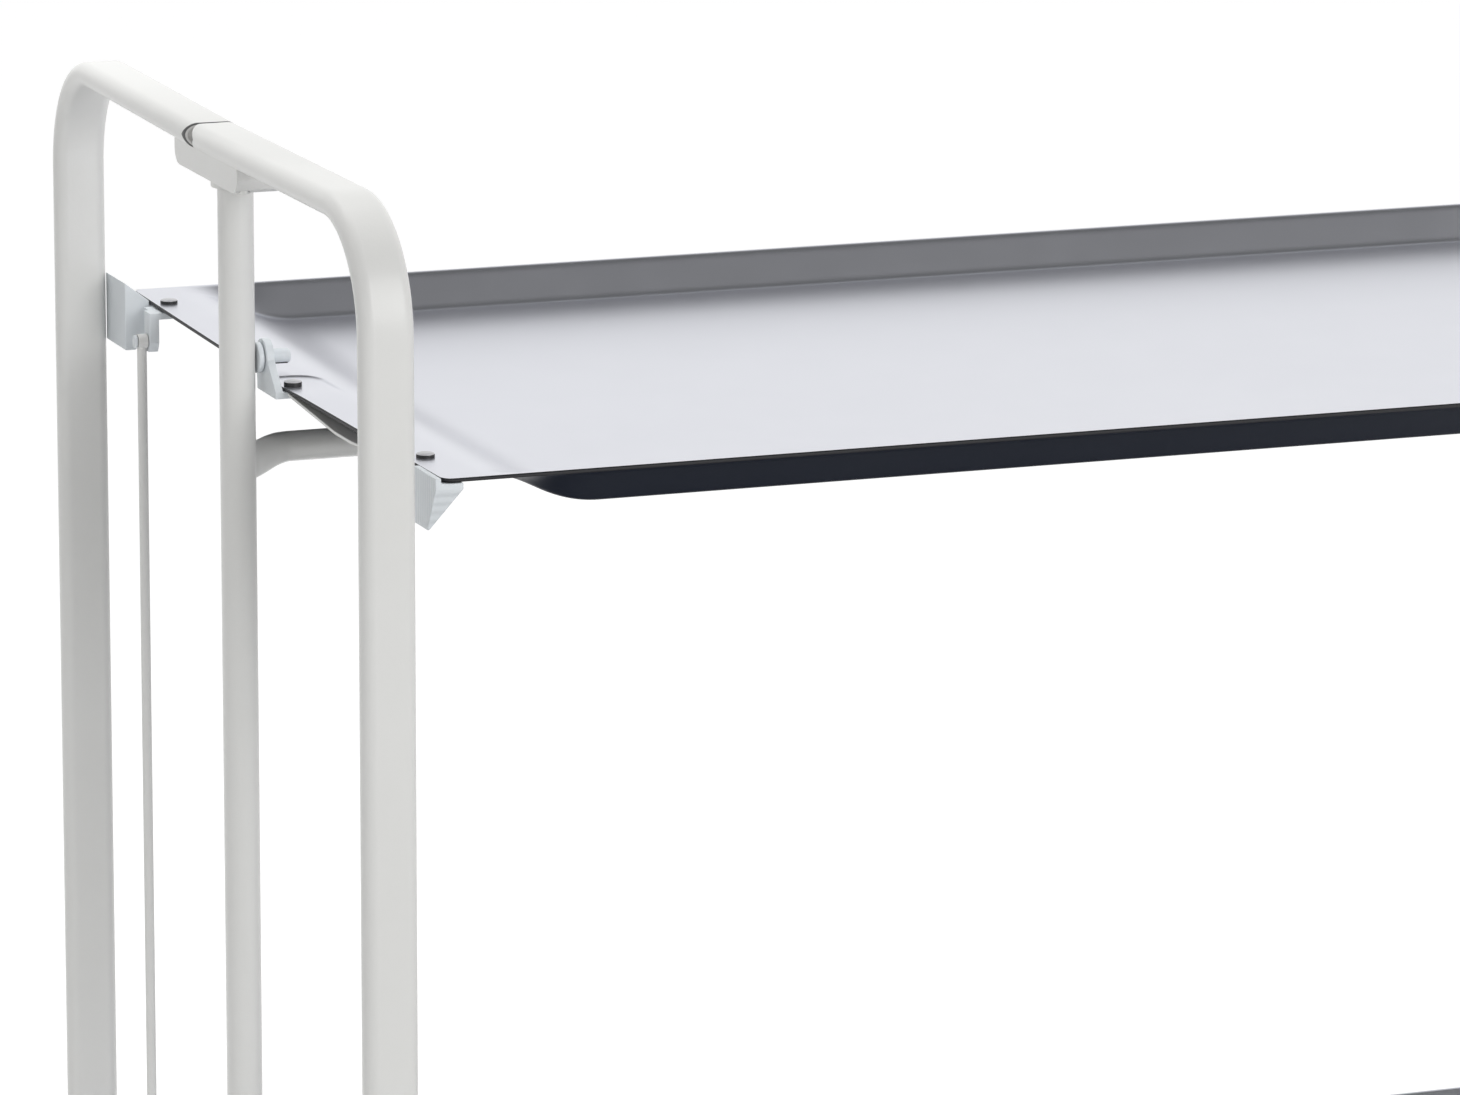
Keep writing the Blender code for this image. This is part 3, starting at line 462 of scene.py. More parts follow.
def make_grain_group():
    """A fine relief: grains of one size, pressed by a second, larger wave, and upright flutes side by side.

    Height = wave noise * Wave + grain noise + Flutes * sin(Flute Scale * y)."""
    group, inside, outside = new_group(
        "Grain",
        (("Scale", "NodeSocketFloat"), ("Wave Scale", "NodeSocketFloat"),
         ("Wave", "NodeSocketFloat", WAVE_SHARE), ("Flutes", "NodeSocketFloat"),
         ("Flute Scale", "NodeSocketFloat", FLUTE_SCALE)),
        (("Height", "NodeSocketFloat"),),
    )
    place = add_node(group, "ShaderNodeTexCoord").outputs["Object"]
    values = {"Vector": place, "Scale": inside.outputs["Scale"], "Detail": GRAIN_DETAIL}
    grains = add_node(group, "ShaderNodeTexNoise", values)
    values = {"Vector": place, "Scale": inside.outputs["Wave Scale"], "Detail": 1.0}
    wave = add_node(group, "ShaderNodeTexNoise", values)
    values = {0: wave.outputs["Fac"], 1: inside.outputs["Wave"], 2: grains.outputs["Fac"]}
    height = add_node(group, "ShaderNodeMath", values, operation="MULTIPLY_ADD")
    axes = add_node(group, "ShaderNodeSeparateXYZ", {0: place})
    values = {0: axes.outputs["Y"], 1: inside.outputs["Flute Scale"]}
    turn = add_node(group, "ShaderNodeMath", values, operation="MULTIPLY")
    flute = add_node(group, "ShaderNodeMath", {0: turn.outputs[0]}, operation="SINE")
    values = {0: flute.outputs[0], 1: inside.outputs["Flutes"], 2: height.outputs[0]}
    fluted = add_node(group, "ShaderNodeMath", values, operation="MULTIPLY_ADD")
    group.links.new(fluted.outputs[0], outside.inputs["Height"])
    return group


mottle = make_mottle_group()
grain = make_grain_group()


def finish(name, colour, tint, amount, roughness, spread, patches, grains, relief, flutes=0.0,
           **shader_values):
    """A Principled finish. Mottle gives its colour and roughness, and Grain its relief.

    patches says how many patches of tint there are to a metre, grains how many grains and waves."""
    material = bpy.data.materials.new(name)
    material.use_nodes = True
    tree = material.node_tree
    shader = tree.nodes["Principled BSDF"]
    for socket, value in shader_values.items():
        shader.inputs[socket.replace("_", " ")].default_value = value
    cloud = tree.nodes.new("ShaderNodeGroup")
    cloud.node_tree = mottle
    values = {"Color": (*colour, 1), "Tint": (*tint, 1), "Scale": patches, "Amount": amount}
    for socket, value in (values | {"Roughness": roughness, "Roughness Spread": spread}).items():
        cloud.inputs[socket].default_value = value
    pressed = tree.nodes.new("ShaderNodeGroup")
    pressed.node_tree = grain
    pressed.inputs["Scale"].default_value, pressed.inputs["Wave Scale"].default_value = grains
    pressed.inputs["Flutes"].default_value = flutes
    values = {"Height": pressed.outputs["Height"], "Strength": RELIEF_STRENGTH, "Distance": relief}
    bump = add_node(tree, "ShaderNodeBump", values)
    tree.links.new(cloud.outputs["Color"], shader.inputs["Base Color"])
    tree.links.new(cloud.outputs["Roughness"], shader.inputs["Roughness"])
    tree.links.new(bump.outputs["Normal"], shader.inputs["Normal"])
    return material


frame_paint = finish(
    "frame_paint", colour=(0.70, 0.70, 0.685), tint=(0.65, 0.65, 0.63), amount=0.5, roughness=0.36,
    spread=0.10, patches=9, grains=(900, 260), relief=0.00006, Coat_Weight=0.2, Coat_Roughness=0.2
)
plastic = dict(
    colour=(0.70, 0.735, 0.76), tint=(0.63, 0.67, 0.70), amount=0.5, roughness=0.42, spread=0.10,
    patches=25, grains=(1600, 300), relief=0.00004
)
white_plastic = finish("white_plastic", **plastic)
fluted_plastic = finish("fluted_plastic", flutes=6.0, **plastic)
tray_top = finish(
    "tray_top", colour=(0.89, 0.905, 0.97), tint=(0.86, 0.875, 0.94), amount=0.5, roughness=0.30,
    spread=0.03, patches=5, grains=(2600, 12), relief=0.000002, Metallic=0.95
)
tray_under = finish(
    "tray_under", colour=(0.008, 0.011, 0.020), tint=(0.014, 0.017, 0.026), amount=0.6, roughness=0.38,
    spread=0.08, patches=8, grains=(1200, 120), relief=0.00001, Specular_IOR_Level=0.15
)
# Near-black painted shade: on the tray's cut edge, on the skirts under the rivet heads and on a strip low on
# each pivot pin.
painted_shade_black = finish(
    "painted_shade_black", colour=(0.004, 0.004, 0.006), tint=(0.01, 0.01, 0.012), amount=0.5, roughness=0.5,
    spread=0.1, patches=30, grains=(1200, 200), relief=0.00003
)
tube_mouth = finish(
    "tube_mouth", colour=(0.60, 0.595, 0.58), tint=(0.48, 0.47, 0.46), amount=0.6, roughness=0.6,
    spread=0.1, patches=160, grains=(1200, 200), relief=0.00005
)
# Dark grey painted shade for the gap where the two half bars meet.
joint_gap_shade = finish(
    "joint_gap_shade", colour=(0.10, 0.10, 0.10), tint=(0.04, 0.04, 0.04), amount=0.6, roughness=0.5,
    spread=0.1, patches=400, grains=(1200, 200), relief=0.00003
)
zinc_steel = finish(
    "zinc_steel", colour=(0.62, 0.62, 0.60), tint=(0.50, 0.50, 0.49), amount=0.6, roughness=0.34,
    spread=0.14, patches=90, grains=(800, 160), relief=0.00005, Metallic=1.0
)
rivet_steel = finish(
    "rivet_steel", colour=(0.70, 0.70, 0.72), tint=(0.60, 0.60, 0.62), amount=0.5, roughness=0.40,
    spread=0.08, patches=120, grains=(900, 200), relief=0.00003, Metallic=0.6
)
grey_tyre = finish(
    "grey_tyre", colour=(0.10, 0.10, 0.105), tint=(0.17, 0.165, 0.16), amount=0.7, roughness=0.62,
    spread=0.12, patches=40, grains=(1500, 400), relief=0.0001
)
hub_plastic = finish(
    "hub_plastic", colour=(0.50, 0.50, 0.50), tint=(0.43, 0.43, 0.43), amount=0.5, roughness=0.45,
    spread=0.1, patches=40, grains=(1500, 300), relief=0.00005
)


# Half frames
def frame_line(distance):
    """How far inwards the half frame's middle line lies at a distance from the trolley's middle plane."""
    return distance * VEE_SLOPE - TUBE_OFFSET


def oval_ring(shrink=0.0):
    """A flat oval: two half circles of the tube's half thickness, joined by straights, drawn in by shrink."""
    radius = TUBE_THICKNESS / 2
    flat = TUBE_WIDTH / 2 - radius
    angle = arc_angles(-QUARTER, QUARTER, 2 * OVAL_STEPS + 1)
    right = np.stack([flat + (radius - shrink) * np.cos(angle), (radius - shrink) * np.sin(angle)], -1)
    return np.concatenate([right, -right])


def bar_end(across):
    """Where the half bar ends: an arc round the hinge pin on its outer half, with a rounded outer corner."""
    reach = HINGE_DISTANCE - HALF_FRAME_GAP / 2
    outward = np.maximum(-across, 0)
    distance = HINGE_DISTANCE - np.sqrt(reach**2 - outward**2)
    corner = np.clip(outward - (TUBE_WIDTH / 2 - TUBE_END_ROUNDING), 0, TUBE_END_ROUNDING)
    return distance + TUBE_END_ROUNDING - np.sqrt(np.maximum(TUBE_END_ROUNDING**2 - corner**2, 0))


def half_frame_rings():
    """Flat oval rings carried along half a bar, a quarter turn and a leg. Each is offset by its section.

    The first two rings line the tube's mouth at the joint, drawn in by the wall's thickness."""
    bar_height = TOP_HEIGHT - TUBE_THICKNESS / 2
    edge = TUBE_EDGE * np.array(EDGE_SHARES)
    insets = np.concatenate([[TUBE_MOUTH_DEPTH, 0], edge])
    shrinks = np.concatenate([[TUBE_WALL, TUBE_WALL], edge[::-1]])
    rings = []
    for shrink, inset in zip(shrinks, insets):
        section = oval_ring(shrink)
        y = bar_end(section[:, 0]) + inset
        rings.append(np.stack([frame_line(y) + section[:, 0], y, bar_height + section[:, 1]], -1))
    turn = arc_angles(0, QUARTER, BEND_STEPS + 1)
    out_y, out_z = np.sin(turn)[:, None], np.cos(turn)[:, None]
    section = oval_ring()
    y = LEG_DISTANCE - TUBE_BEND_RADIUS * (1 - out_y) + section[:, 1] * out_y
    z = bar_height - TUBE_BEND_RADIUS * (1 - out_z) + section[:, 1] * out_z
    rings += list(np.stack([frame_line(y) + section[:, 0], y, z], -1))
    y = LEG_DISTANCE + section[:, 1]
    rings.append(np.stack([frame_line(y) + section[:, 0], y, np.full(len(y), LEG_BOTTOM)], -1))
    return np.array(rings)


def dress_half_frames():
    """The four half frames with their struts, and the corner rests on the back ones. A tube's mouth has
    the second material, with the fan that closes it, and the cut edge round it the third, a dark grey
    painted shade for the gap at the joint."""
    rings = half_frame_rings()
    around = rings.shape[1]
    shell = tube_shell(rings)
    indices = np.zeros(len(shell[1]))
    indices[:TUBE_MOUTH_RINGS * around] = 1
    indices[(len(rings) - 1) * around:len(rings) * around] = 1
    # The bevel rings round the joint's end are painted dark grey as shade in the gap between the halves.
    indices[TUBE_MOUTH_RINGS * around:(len(EDGE_SHARES) + 1) * around] = 2
    for side_name, side in SIDES.items():
        for row_name, row in ROWS.items():
            node, body = f"frame_tube_{side_name}_{row_name}", f"half_frame_{side_name}_{row_name}"
            make_piece(f"{node}_dressed", [shell], [frame_paint, tube_mouth, joint_gap_shade], body,
                       [node], end_matrix(side, row), indices)
            softened(f"lower_strut_{side_name}_{row_name}", frame_paint)
        for tray_name in TRAYS:
            softened(f"corner_rest_{tray_name}_{side_name}", white_plastic)


# Posts, saddles, rails and the link rod
def dress_posts():
    """The posts and the saddles on their two ends."""
    profile = rounded_rod(POST_RADIUS, post_low.z, post_high.z, BOLT_EDGE)
    for side_name, side in SIDES.items():
        node = f"post_{side_name}"
        shell = turned(profile, (side * POST_X, 0, 0), "z")
        make_piece(f"{node}_dressed", [shell], [frame_paint], "centre_frame", [node])
        softened(f"top_saddle_{side_name}", frame_paint, SADDLE_EDGE)
        softened(f"foot_saddle_{side_name}", frame_paint)


def rail_rings(height):
    """An oval ring carried along x. Its offset from the post and its two radii rise along one easing curve:
    flat behind the post, then cranked backwards while the tube opens from flat to round."""
    flat_y = (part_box("post_left")[1].y + CLEARANCE) + RAIL_FLAT_THICKNESS / 2
    share = np.linspace(0, 1, BEND_STEPS + 1)
    crank = blended(share, RAIL_CRANK_BEND)
    opened = blended((share - RAIL_OPENING) / (1 - RAIL_OPENING), RAIL_CRANK_BEND)
    x = RAIL_FLAT_END + share * (RAIL_TUBE_START - RAIL_FLAT_END)
    y = flat_y + crank * ((rail_high.y - RAIL_RADIUS) - flat_y)
    thick = RAIL_FLAT_THICKNESS / 2 + opened * (RAIL_RADIUS - RAIL_FLAT_THICKNESS / 2)
    tall = RAIL_FLAT_HEIGHT / 2 + opened * (RAIL_RADIUS - RAIL_FLAT_HEIGHT / 2)
    edge = RAIL_EDGE * np.array(EDGE_SHARES)
    x, y = np.concatenate([RAIL_START + edge, x]), np.concatenate([np.full(len(edge), flat_y), y])
    edge = edge[::-1]
    thick = np.concatenate([RAIL_FLAT_THICKNESS / 2 - edge, thick])
    tall = np.concatenate([RAIL_FLAT_HEIGHT / 2 - edge, tall])
    x, y = np.concatenate([x - POST_X, POST_X - x[::-1]]), np.concatenate([y, y[::-1]])
    thick, tall = np.concatenate([thick, thick[::-1]]), np.concatenate([tall, tall[::-1]])
    heading = np.stack([np.gradient(x), np.gradient(y)], -1)
    heading /= np.linalg.norm(heading, axis=1, keepdims=True)
    angle = np.linspace(0, math.tau, ROUND_STEPS, endpoint=False)
    out = thick[:, None] * np.sin(angle)
    points = [x[:, None] - heading[:, 1:] * out, y[:, None] + heading[:, :1] * out]
    points.append(height + tall[:, None] * np.cos(angle))
    return np.stack(points, -1)


def dress_rails():
    """The two rails behind the posts, and the link rod."""
    for tray_name, pivot_height in TRAYS.items():
        node = f"rail_{tray_name}"
        shell = tube_shell(rail_rings(pivot_height - RAIL_DROP))
        make_piece(f"{node}_dressed", [shell], [frame_paint], "centre_frame", [node])
    softened("link_rod", frame_paint, ROD_EDGE)


# Trays
def tray_end(distance):
    """How far inwards from the post's axis a tray ends. Its end edges slant as the half frames do."""
    return TRAY_END_DISTANCE + np.abs(distance) * VEE_SLOPE


def tray_grid():
    """Grid lines of a tray: distances inwards from its end edge, and places across it. They are close
    together where the sheet bends: in the rim, the walls, the ramp and the edges of the rivet seats."""
    half = TRAY_HALF_WIDTH
    wall = np.linspace(0, TRAY_WALL_INSET, WALL_LINES)
    edge = half - TRAY_RIM - wall
    seat = np.linspace(-SEAT_FRONT - SEAT_SLOPE, SEAT_BACK + SEAT_SLOPE, SEAT_LINES)
    before = np.linspace(-edge[-1], seat[0], FRONT_LINES)[1:-1]
    after = np.linspace(seat[-1], edge[-1], BACK_LINES)[1:-1]
    corner = half - np.linspace(0, TRAY_RIM, RIM_LINES)[:-1]
    across = np.concatenate([-corner, -edge, before, seat, after, edge[::-1], corner[::-1]])
    corner_start, seat_end = SEAT_LENGTH - SEAT_CORNER, SEAT_LENGTH + SEAT_SLOPE
    strip = np.linspace(0, corner_start, STRIP_LINES)[:-1]
    seat_edge = np.linspace(corner_start, seat_end, SEAT_EDGE_LINES)[:-1]
    ramp = np.linspace(seat_end, TRAY_END_STRIP + TRAY_RAMP, RAMP_LINES)
    return np.concatenate([strip, seat_edge, ramp]), across


def rivet_seat(inward, across):
    """Depth of the pressed seat: full inside a rounded rectangle, none SEAT_SLOPE beyond its outline, and
    it thins out towards the front. The rectangle's distance is |max(p - b, 0)| + min(max(p - b), 0) - r."""
    middle = (SEAT_BACK - SEAT_FRONT) / 2
    sideways = np.abs(across - middle) - ((SEAT_BACK + SEAT_FRONT) / 2 - SEAT_CORNER)
    lengthways = inward - (SEAT_LENGTH - SEAT_CORNER)
    outside = np.hypot(np.maximum(sideways, 0), np.maximum(lengthways, 0))
    distance = outside + np.minimum(np.maximum(sideways, lengthways), 0) - SEAT_CORNER
    fade = blended((across + SEAT_FRONT) / SEAT_FADE, SEAT_FADE_BEND)
    return SEAT_DEPTH * fade * blended(1 - distance / SEAT_SLOPE, SEAT_SLOPE_BEND)


def tray_surface(pivot_height, inset, drop, seated):
    """One face of a tray: z = rim - depth * ramp(inward) * wall(distance from the side) - seat - drop."""
    inward, across = tray_grid()
    half = TRAY_HALF_WIDTH
    length = POST_X - tray_end(across)
    corner = np.maximum(np.abs(across) - (half - TRAY_CORNER_RADIUS), 0)
    cut = TRAY_CORNER_RADIUS - np.sqrt(np.maximum(TRAY_CORNER_RADIUS**2 - corner**2, 0))
    end = length[None, :] - np.maximum(inward[:, None], cut[None, :])
    end = np.where(inward[:, None] > 0, end, end - inset)
    middle = np.linspace(1, -1, MIDDLE_LINES)[1:-1, None] * end[-1][None, :]
    x = np.concatenate([end, middle, -end[::-1]])
    depth = blended((inward - TRAY_END_STRIP) / TRAY_RAMP, TRAY_RAMP_BEND)
    along = np.concatenate([depth, np.ones(len(middle)), depth[::-1]])[:, None]
    wall = blended((half - TRAY_RIM - np.abs(across)) / TRAY_WALL_INSET, TRAY_WALL_BEND)[None, :]
    y = np.clip(across, -half + inset, half - inset)[None, :]
    seat = rivet_seat(inward[:, None], across[None, :]) * seated
    pressed = np.concatenate([seat, np.zeros_like(middle), seat[::-1]])
    z = pivot_height - PIVOT_RISE - TRAY_DEPTH * along * wall - pressed - drop
    return np.stack(np.broadcast_arrays(x, y, z), -1)


def rivet_shell(place):
    """A low dome, radius r = R cos a and height h = H sin a, on a straight skirt, which the caller paints
    black as shade under the head.
    """
    angle = arc_angles(0, DOME_END, ARC_STEPS)
    rise = RIVET_SKIRT + (RIVET_HEIGHT - RIVET_SKIRT) * np.sin(angle)
    profile = np.stack([RIVET_RADIUS * np.cos(angle), rise], -1)
    return turned(np.concatenate([[(profile[0, 0], -RIVET_SKIRT)], profile]), place, "z")


def dress_tray_end(tray_name, side_name, side):
    """What is fixed to one end of a tray: ear, strip, corner block and the rivets."""
    rim = TRAYS[tray_name] - PIVOT_RISE
    softened(f"pivot_ear_{tray_name}_{side_name}", white_plastic)
    softened(f"end_strip_{tray_name}_{side_name}", frame_paint, SOFT_EDGE / 2)
    softened(f"corner_block_{tray_name}_{side_name}", fluted_plastic)
    for kind, (inset, y) in RIVET_INSETS.items():
        if kind != "hanger" or side == LEFT:
            place = (side * (POST_X - tray_end(y) - inset), y, rim)
            shell = rivet_shell(place)
            # The skirt, the first ring of faces, is painted near black as shade under the rivet's head.
            indices = (np.arange(len(shell[1])) < ROUND_STEPS).astype(int)
            make_piece(f"rivet_{kind}_{tray_name}_{side_name}", [shell], [rivet_steel, painted_shade_black],
                       f"tray_{tray_name}_body", (), None, indices)


def dress_trays():
    """Each tray is a top face, an underside and a rounded cut edge, with a finish for each. The cut edge is
    painted near black as shade.
    """
    for name, pivot_height in TRAYS.items():
        levels = [tray_surface(pivot_height, TRAY_EDGE, 0, 1), tray_surface(pivot_height, 0, TRAY_EDGE, 1),
                  tray_surface(pivot_height, 0, TRAY_SHEET - TRAY_EDGE, 0),
                  tray_surface(pivot_height, TRAY_EDGE, TRAY_SHEET, 0)]
        shells, indices = sheet_shell(levels)
        make_piece(f"tray_{name}_dressed", shells, [tray_top, tray_under, painted_shade_black], f"tray_{name}_body",
                   [f"tray_{name}"], None, indices)
        softened(f"rod_hanger_{name}", white_plastic)
        for side_name, side in SIDES.items():
            dress_tray_end(name, side_name, side)
            dress_bolt(name, side_name, side)


def dress_bolt(tray_name, side_name, side):
    """A pivot bolt turned from one profile: a flat collar against the post, then a pin with a domed tip.
    A strip of painted shade runs along the pin, low on its front, for the shadow under it: the steps whose
    turn lies between two angles."""
    collar = rounded_rod(BOLT_COLLAR_RADIUS, BOLT_START, BOLT_START + BOLT_COLLAR_THICKNESS, BOLT_EDGE)
    angle = arc_angles(0, DOME_END, ARC_STEPS)
    dome = np.stack([BOLT_RADIUS * np.cos(angle), BOLT_TIP - BOLT_DOME + BOLT_DOME * np.sin(angle)], -1)
    foot = [(BOLT_RADIUS, BOLT_START + BOLT_COLLAR_THICKNESS)]
    shell = turned(np.concatenate([collar, foot, dome]), (0, 0, TRAYS[tray_name]), "x")
    step = np.arange(len(shell[1]))
    turn = (step % ROUND_STEPS) * math.tau / ROUND_STEPS
    painted_shade_strip = (step // ROUND_STEPS == len(collar)) & (PAINTED_SHADE_START <= turn) & (turn < PAINTED_SHADE_END)
    node = f"pivot_bolt_{tray_name}_{side_name}"
    make_piece(f"{node}_dressed", [shell], [white_plastic, painted_shade_black], "centre_frame", [node],
               end_matrix(side), painted_shade_strip.astype(int))


# Casters
def fork_grid(out):
    """The fork's sheet as a grid, moved out from its middle face. The profile is an upside-down U in (y, z)
    with two quarter bends. Across it x runs from one outline of the cheek to the other, which close in
    below the crown to a half circle round the axle."""
    half = fork_high.y - LEG_DISTANCE - FORK_SHEET / 2
    top = FORK_TOP - FORK_SHEET / 2
    low = WHEEL_RADIUS - FORK_TIP_RADIUS
    angle = arc_angles(0, QUARTER, ARC_STEPS)
    share = 1 - np.cos(arc_angles(0, QUARTER, CHEEK_STEPS))
    straight = low + share * (top - FORK_BEND - low)
    bend_y = half - FORK_BEND + (FORK_BEND + out) * np.cos(angle)
    bend_z = top - FORK_BEND + (FORK_BEND + out) * np.sin(angle)
    y = np.concatenate([np.full(len(straight) - 1, half + out), bend_y])
    z = np.concatenate([straight[:-1], bend_z])
    y, z = np.concatenate([y, -y[::-1]]), np.concatenate([z, z[::-1]])
    tip = np.sqrt(np.maximum(FORK_TIP_RADIUS**2 - np.minimum(z - WHEEL_RADIUS, 0) ** 2, 0))
    closing = np.clip((z - WHEEL_RADIUS) / (top - FORK_BROAD_DEPTH - WHEEL_RADIUS), 0, 1)
    back = (AXLE_INWARD - tip) + closing * (fork_back - AXLE_INWARD + FORK_TIP_RADIUS)
    ahead = (AXLE_INWARD + tip) + closing * (fork_ahead - AXLE_INWARD - FORK_TIP_RADIUS)
    across = np.linspace(0, 1, CHEEK_LINES)[:, None]
    x = back + across * (ahead - back)
    return np.stack(np.broadcast_arrays(x, LEG_DISTANCE + y, z), -1)


def wheel_shells():
    """A tyre and a hub, each turned from its profile: the tyre's edges are quarter circles, and the hub is
    a dished disc with a raised boss round the axle."""
    half, hub = WHEEL_HALF_WIDTH, WHEEL_RADIUS - TYRE_THICKNESS
    angle = arc_angles(0, QUARTER, ARC_STEPS)
    tread, wall = WHEEL_RADIUS - TYRE_EDGE * (1 - np.cos(angle)), half - TYRE_EDGE * (1 - np.sin(angle))
    edge = np.stack([tread, wall], -1)
    inner = np.array([(hub, half)])
    tyre = np.concatenate([edge, inner, inner * (1, -1), edge[::-1] * (1, -1)])
    lip, dish = half - HUB_DISH / 2, half - HUB_DISH
    side = np.array([(hub, lip), (hub - HUB_LIP, lip), (hub - HUB_LIP_FOOT, dish), (HUB_RADIUS, dish),
                     (HUB_RADIUS - HUB_BOSS_SLOPE, half), (AXLE_RADIUS + CLEARANCE, half)])
    disc = np.concatenate([side, side[::-1] * (1, -1)])
    place = (AXLE_INWARD, LEG_DISTANCE, WHEEL_RADIUS)
    return [turned(tyre, place, "y", True), turned(disc, place, "y", True)]


def axle_shell():
    """The axle and its two domed heads, turned from one profile."""
    angle = arc_angles(QUARTER - DOME_END, QUARTER, AXLE_HEAD_STEPS)
    seat = axle_high.y - LEG_DISTANCE - AXLE_HEAD
    head = np.stack([AXLE_HEAD_RADIUS * np.sin(angle), seat + AXLE_HEAD * np.cos(angle)], -1)
    half = np.concatenate([head, [(AXLE_HEAD_RADIUS, seat), (AXLE_RADIUS, seat)]])
    profile = np.concatenate([half, half[::-1] * (1, -1)])
    return turned(profile, (AXLE_INWARD, LEG_DISTANCE, WHEEL_RADIUS), "y")


def dress_casters():
    """The forks with their stems, the axles and the wheels."""
    rise = np.array([FORK_SHEET / 2, 0, -FORK_SHEET / 2])
    sheet, _ = sheet_shell([fork_grid(out) for out in rise])
    collar = rounded_rod(COLLAR_RADIUS, FORK_TOP - FORK_SHEET / 2, LEG_BOTTOM - CLEARANCE, BOLT_EDGE)
    pin = [(STEM_RADIUS, LEG_BOTTOM - CLEARANCE), (STEM_RADIUS, fork_high.z)]
    stem_shell = turned(np.concatenate([collar, pin]), (frame_line(LEG_DISTANCE), LEG_DISTANCE, 0), "z")
    wheels = wheel_shells()
    parts = [len(faces) for _, faces in wheels]
    for side_name, side in SIDES.items():
        for row_name, row in ROWS.items():
            place, matrix = f"{side_name}_{row_name}", end_matrix(side, row)
            fork, axle, wheel = f"caster_fork_{place}", f"wheel_axle_{place}", f"wheel_{place}"
            make_piece(f"{fork}_dressed", sheet + [stem_shell], [zinc_steel], f"caster_{place}",
                       [fork], matrix)
            make_piece(f"{axle}_dressed", [axle_shell()], [zinc_steel], f"caster_{place}",
                       [axle], matrix)
            make_piece(f"{wheel}_dressed", wheels, [grey_tyre, hub_plastic], f"wheel_body_{place}",
                       [wheel], matrix, np.repeat([0, 1], parts))


def dress_pins():
    """The hinge pins keep their CAD shapes."""
    for node, piece in frame["nodes"].items():
        if node.startswith("hinge_pin"):
            piece.data.materials.clear()
            piece.data.materials.append(zinc_steel)


# Stage, light and camera
def background_share(tree, share):
    """The share where a ray comes from the camera, a mirror or glass, and 0 for the light on the object."""
    path = add_node(tree, "ShaderNodeLightPath")
    seen = path.outputs["Is Camera Ray"]
    for ray in ("Is Glossy Ray", "Is Transmission Ray"):
        either = add_node(tree, "ShaderNodeMath", {0: seen, 1: path.outputs[ray]}, operation="MAXIMUM")
        seen = either.outputs[0]
    return add_node(tree, "ShaderNodeMath", {0: seen, 1: share}, operation="MULTIPLY").outputs[0]


def make_stage():
    """A pale floor. Part of what the camera sees of it is plain white, the rest keeps the object's shadow."""
    mesh = bpy.data.meshes.new("floor")
    corners = [(-FLOOR_SIZE, -FLOOR_SIZE, 0), (FLOOR_SIZE, -FLOOR_SIZE, 0)]
    corners += [(FLOOR_SIZE, FLOOR_SIZE, 0), (-FLOOR_SIZE, FLOOR_SIZE, 0)]
    mesh.from_pydata(corners, [], [(0, 1, 2, 3)])
    floor = bpy.data.objects.new("floor", mesh)
    bpy.context.scene.collection.objects.link(floor)
    material = bpy.data.materials.new("floor")
    material.use_nodes = True
    tree = material.node_tree
    shader = tree.nodes["Principled BSDF"]
    shader.inputs["Base Color"].default_value = FLOOR_COLOUR
    shader.inputs["Roughness"].default_value = FLOOR_ROUGHNESS
    glow = add_node(tree, "ShaderNodeEmission", {"Color": WHITE, "Strength": FLOOR_GLOW})
    values = {0: background_share(tree, FLOOR_GLOW_SHARE), 1: shader.outputs[0], 2: glow.outputs[0]}
    mix = add_node(tree, "ShaderNodeMixShader", values)
    tree.links.new(mix.outputs[0], tree.nodes["Material Output"].inputs["Surface"])
    mesh.materials.append(material)


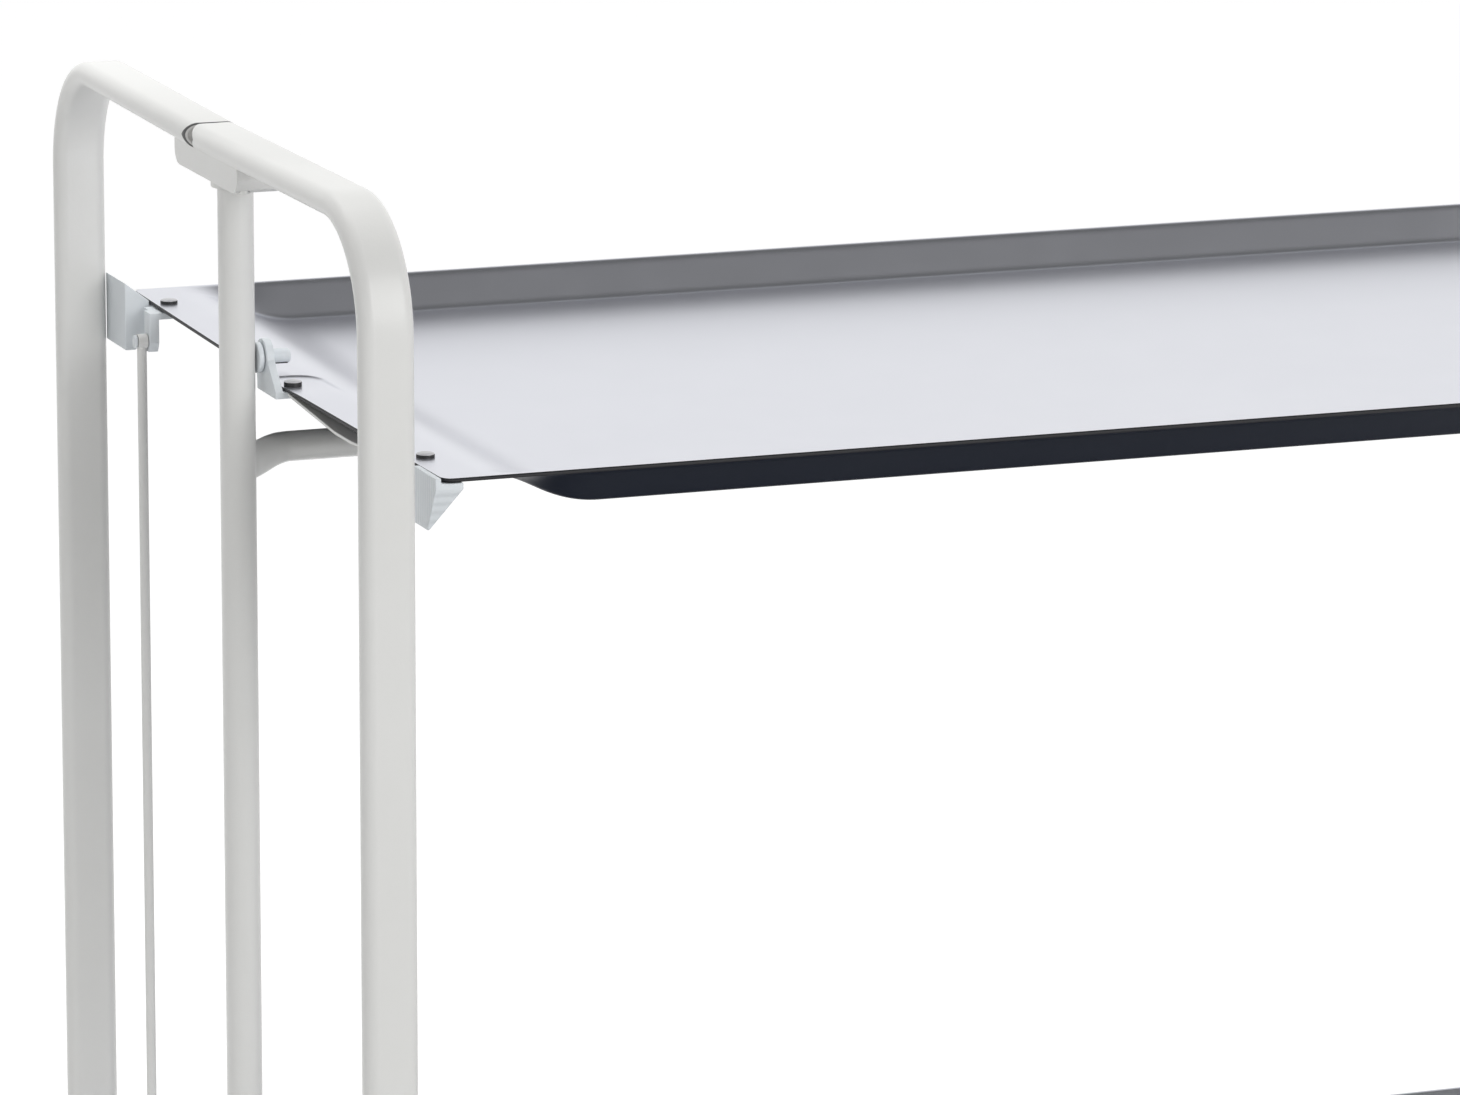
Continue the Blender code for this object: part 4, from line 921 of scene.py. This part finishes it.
def make_world():
    """White to the camera. To everything else it is bright near the horizon and dim overhead."""
    world = bpy.data.worlds.new("studio")
    bpy.context.scene.world = world
    world.use_nodes = True
    tree = world.node_tree
    back = tree.nodes["Background"]
    place = add_node(tree, "ShaderNodeTexCoord")
    axes = add_node(tree, "ShaderNodeSeparateXYZ", {0: place.outputs["Generated"]})
    values = {0: axes.outputs["Z"], 1: SKY_BRIGHT_BELOW, 2: SKY_DIM_ABOVE}
    ramp = add_node(tree, "ShaderNodeMapRange", values | {3: SKY_LOW_LEVEL, 4: SKY_HIGH_LEVEL})
    path = add_node(tree, "ShaderNodeLightPath")
    level = add_node(tree, "ShaderNodeMix", {0: path.outputs["Is Camera Ray"], 2: ramp.outputs[0], 3: 1.0})
    tree.links.new(level.outputs[0], back.inputs["Strength"])
    back.inputs["Color"].default_value = WHITE


def add_lamp(name, place, size, power, mirrored):
    """A round lamp turned to the trolley. One that isn't mirrored shows in no glossy surface."""
    data = bpy.data.lights.new(name, "AREA")
    data.shape = "DISK"
    data.size = size
    data.energy = power
    lamp = bpy.data.objects.new(name, data)
    bpy.context.scene.collection.objects.link(lamp)
    lamp.visible_glossy = mirrored
    lamp.location = place
    lamp.rotation_euler = (LAMP_TARGET - Vector(place)).to_track_quat("-Z", "Y").to_euler()


def make_camera():
    """The camera at the photograph's viewing angle, place and focal length."""
    data = bpy.data.cameras.new("camera")
    data.sensor_width = SENSOR_WIDTH
    data.lens = CAMERA_FOCUS_PIXELS / PICTURE_WIDTH * SENSOR_WIDTH
    camera = bpy.data.objects.new("camera", data)
    bpy.context.scene.collection.objects.link(camera)
    back = Vector((math.sin(CAMERA_AZIMUTH) * math.cos(CAMERA_ELEVATION),
                   -math.cos(CAMERA_AZIMUTH) * math.cos(CAMERA_ELEVATION), math.sin(CAMERA_ELEVATION)))
    turn = back.to_track_quat("Z", "Y").to_matrix() @ Matrix.Rotation(CAMERA_ROLL, 3, "Z")
    camera.matrix_world = Matrix.Translation(CAMERA_PLACE) @ turn.to_4x4()
    bpy.context.scene.camera = camera


def main():
    """Every piece, then the setting, the lamps and the camera."""
    dress_half_frames()
    dress_posts()
    dress_rails()
    dress_trays()
    dress_casters()
    dress_pins()
    make_stage()
    make_world()
    for lamp in LAMPS:
        add_lamp(*lamp)
    make_camera()
    bpy.context.scene.view_settings.view_transform = "Standard"


main()
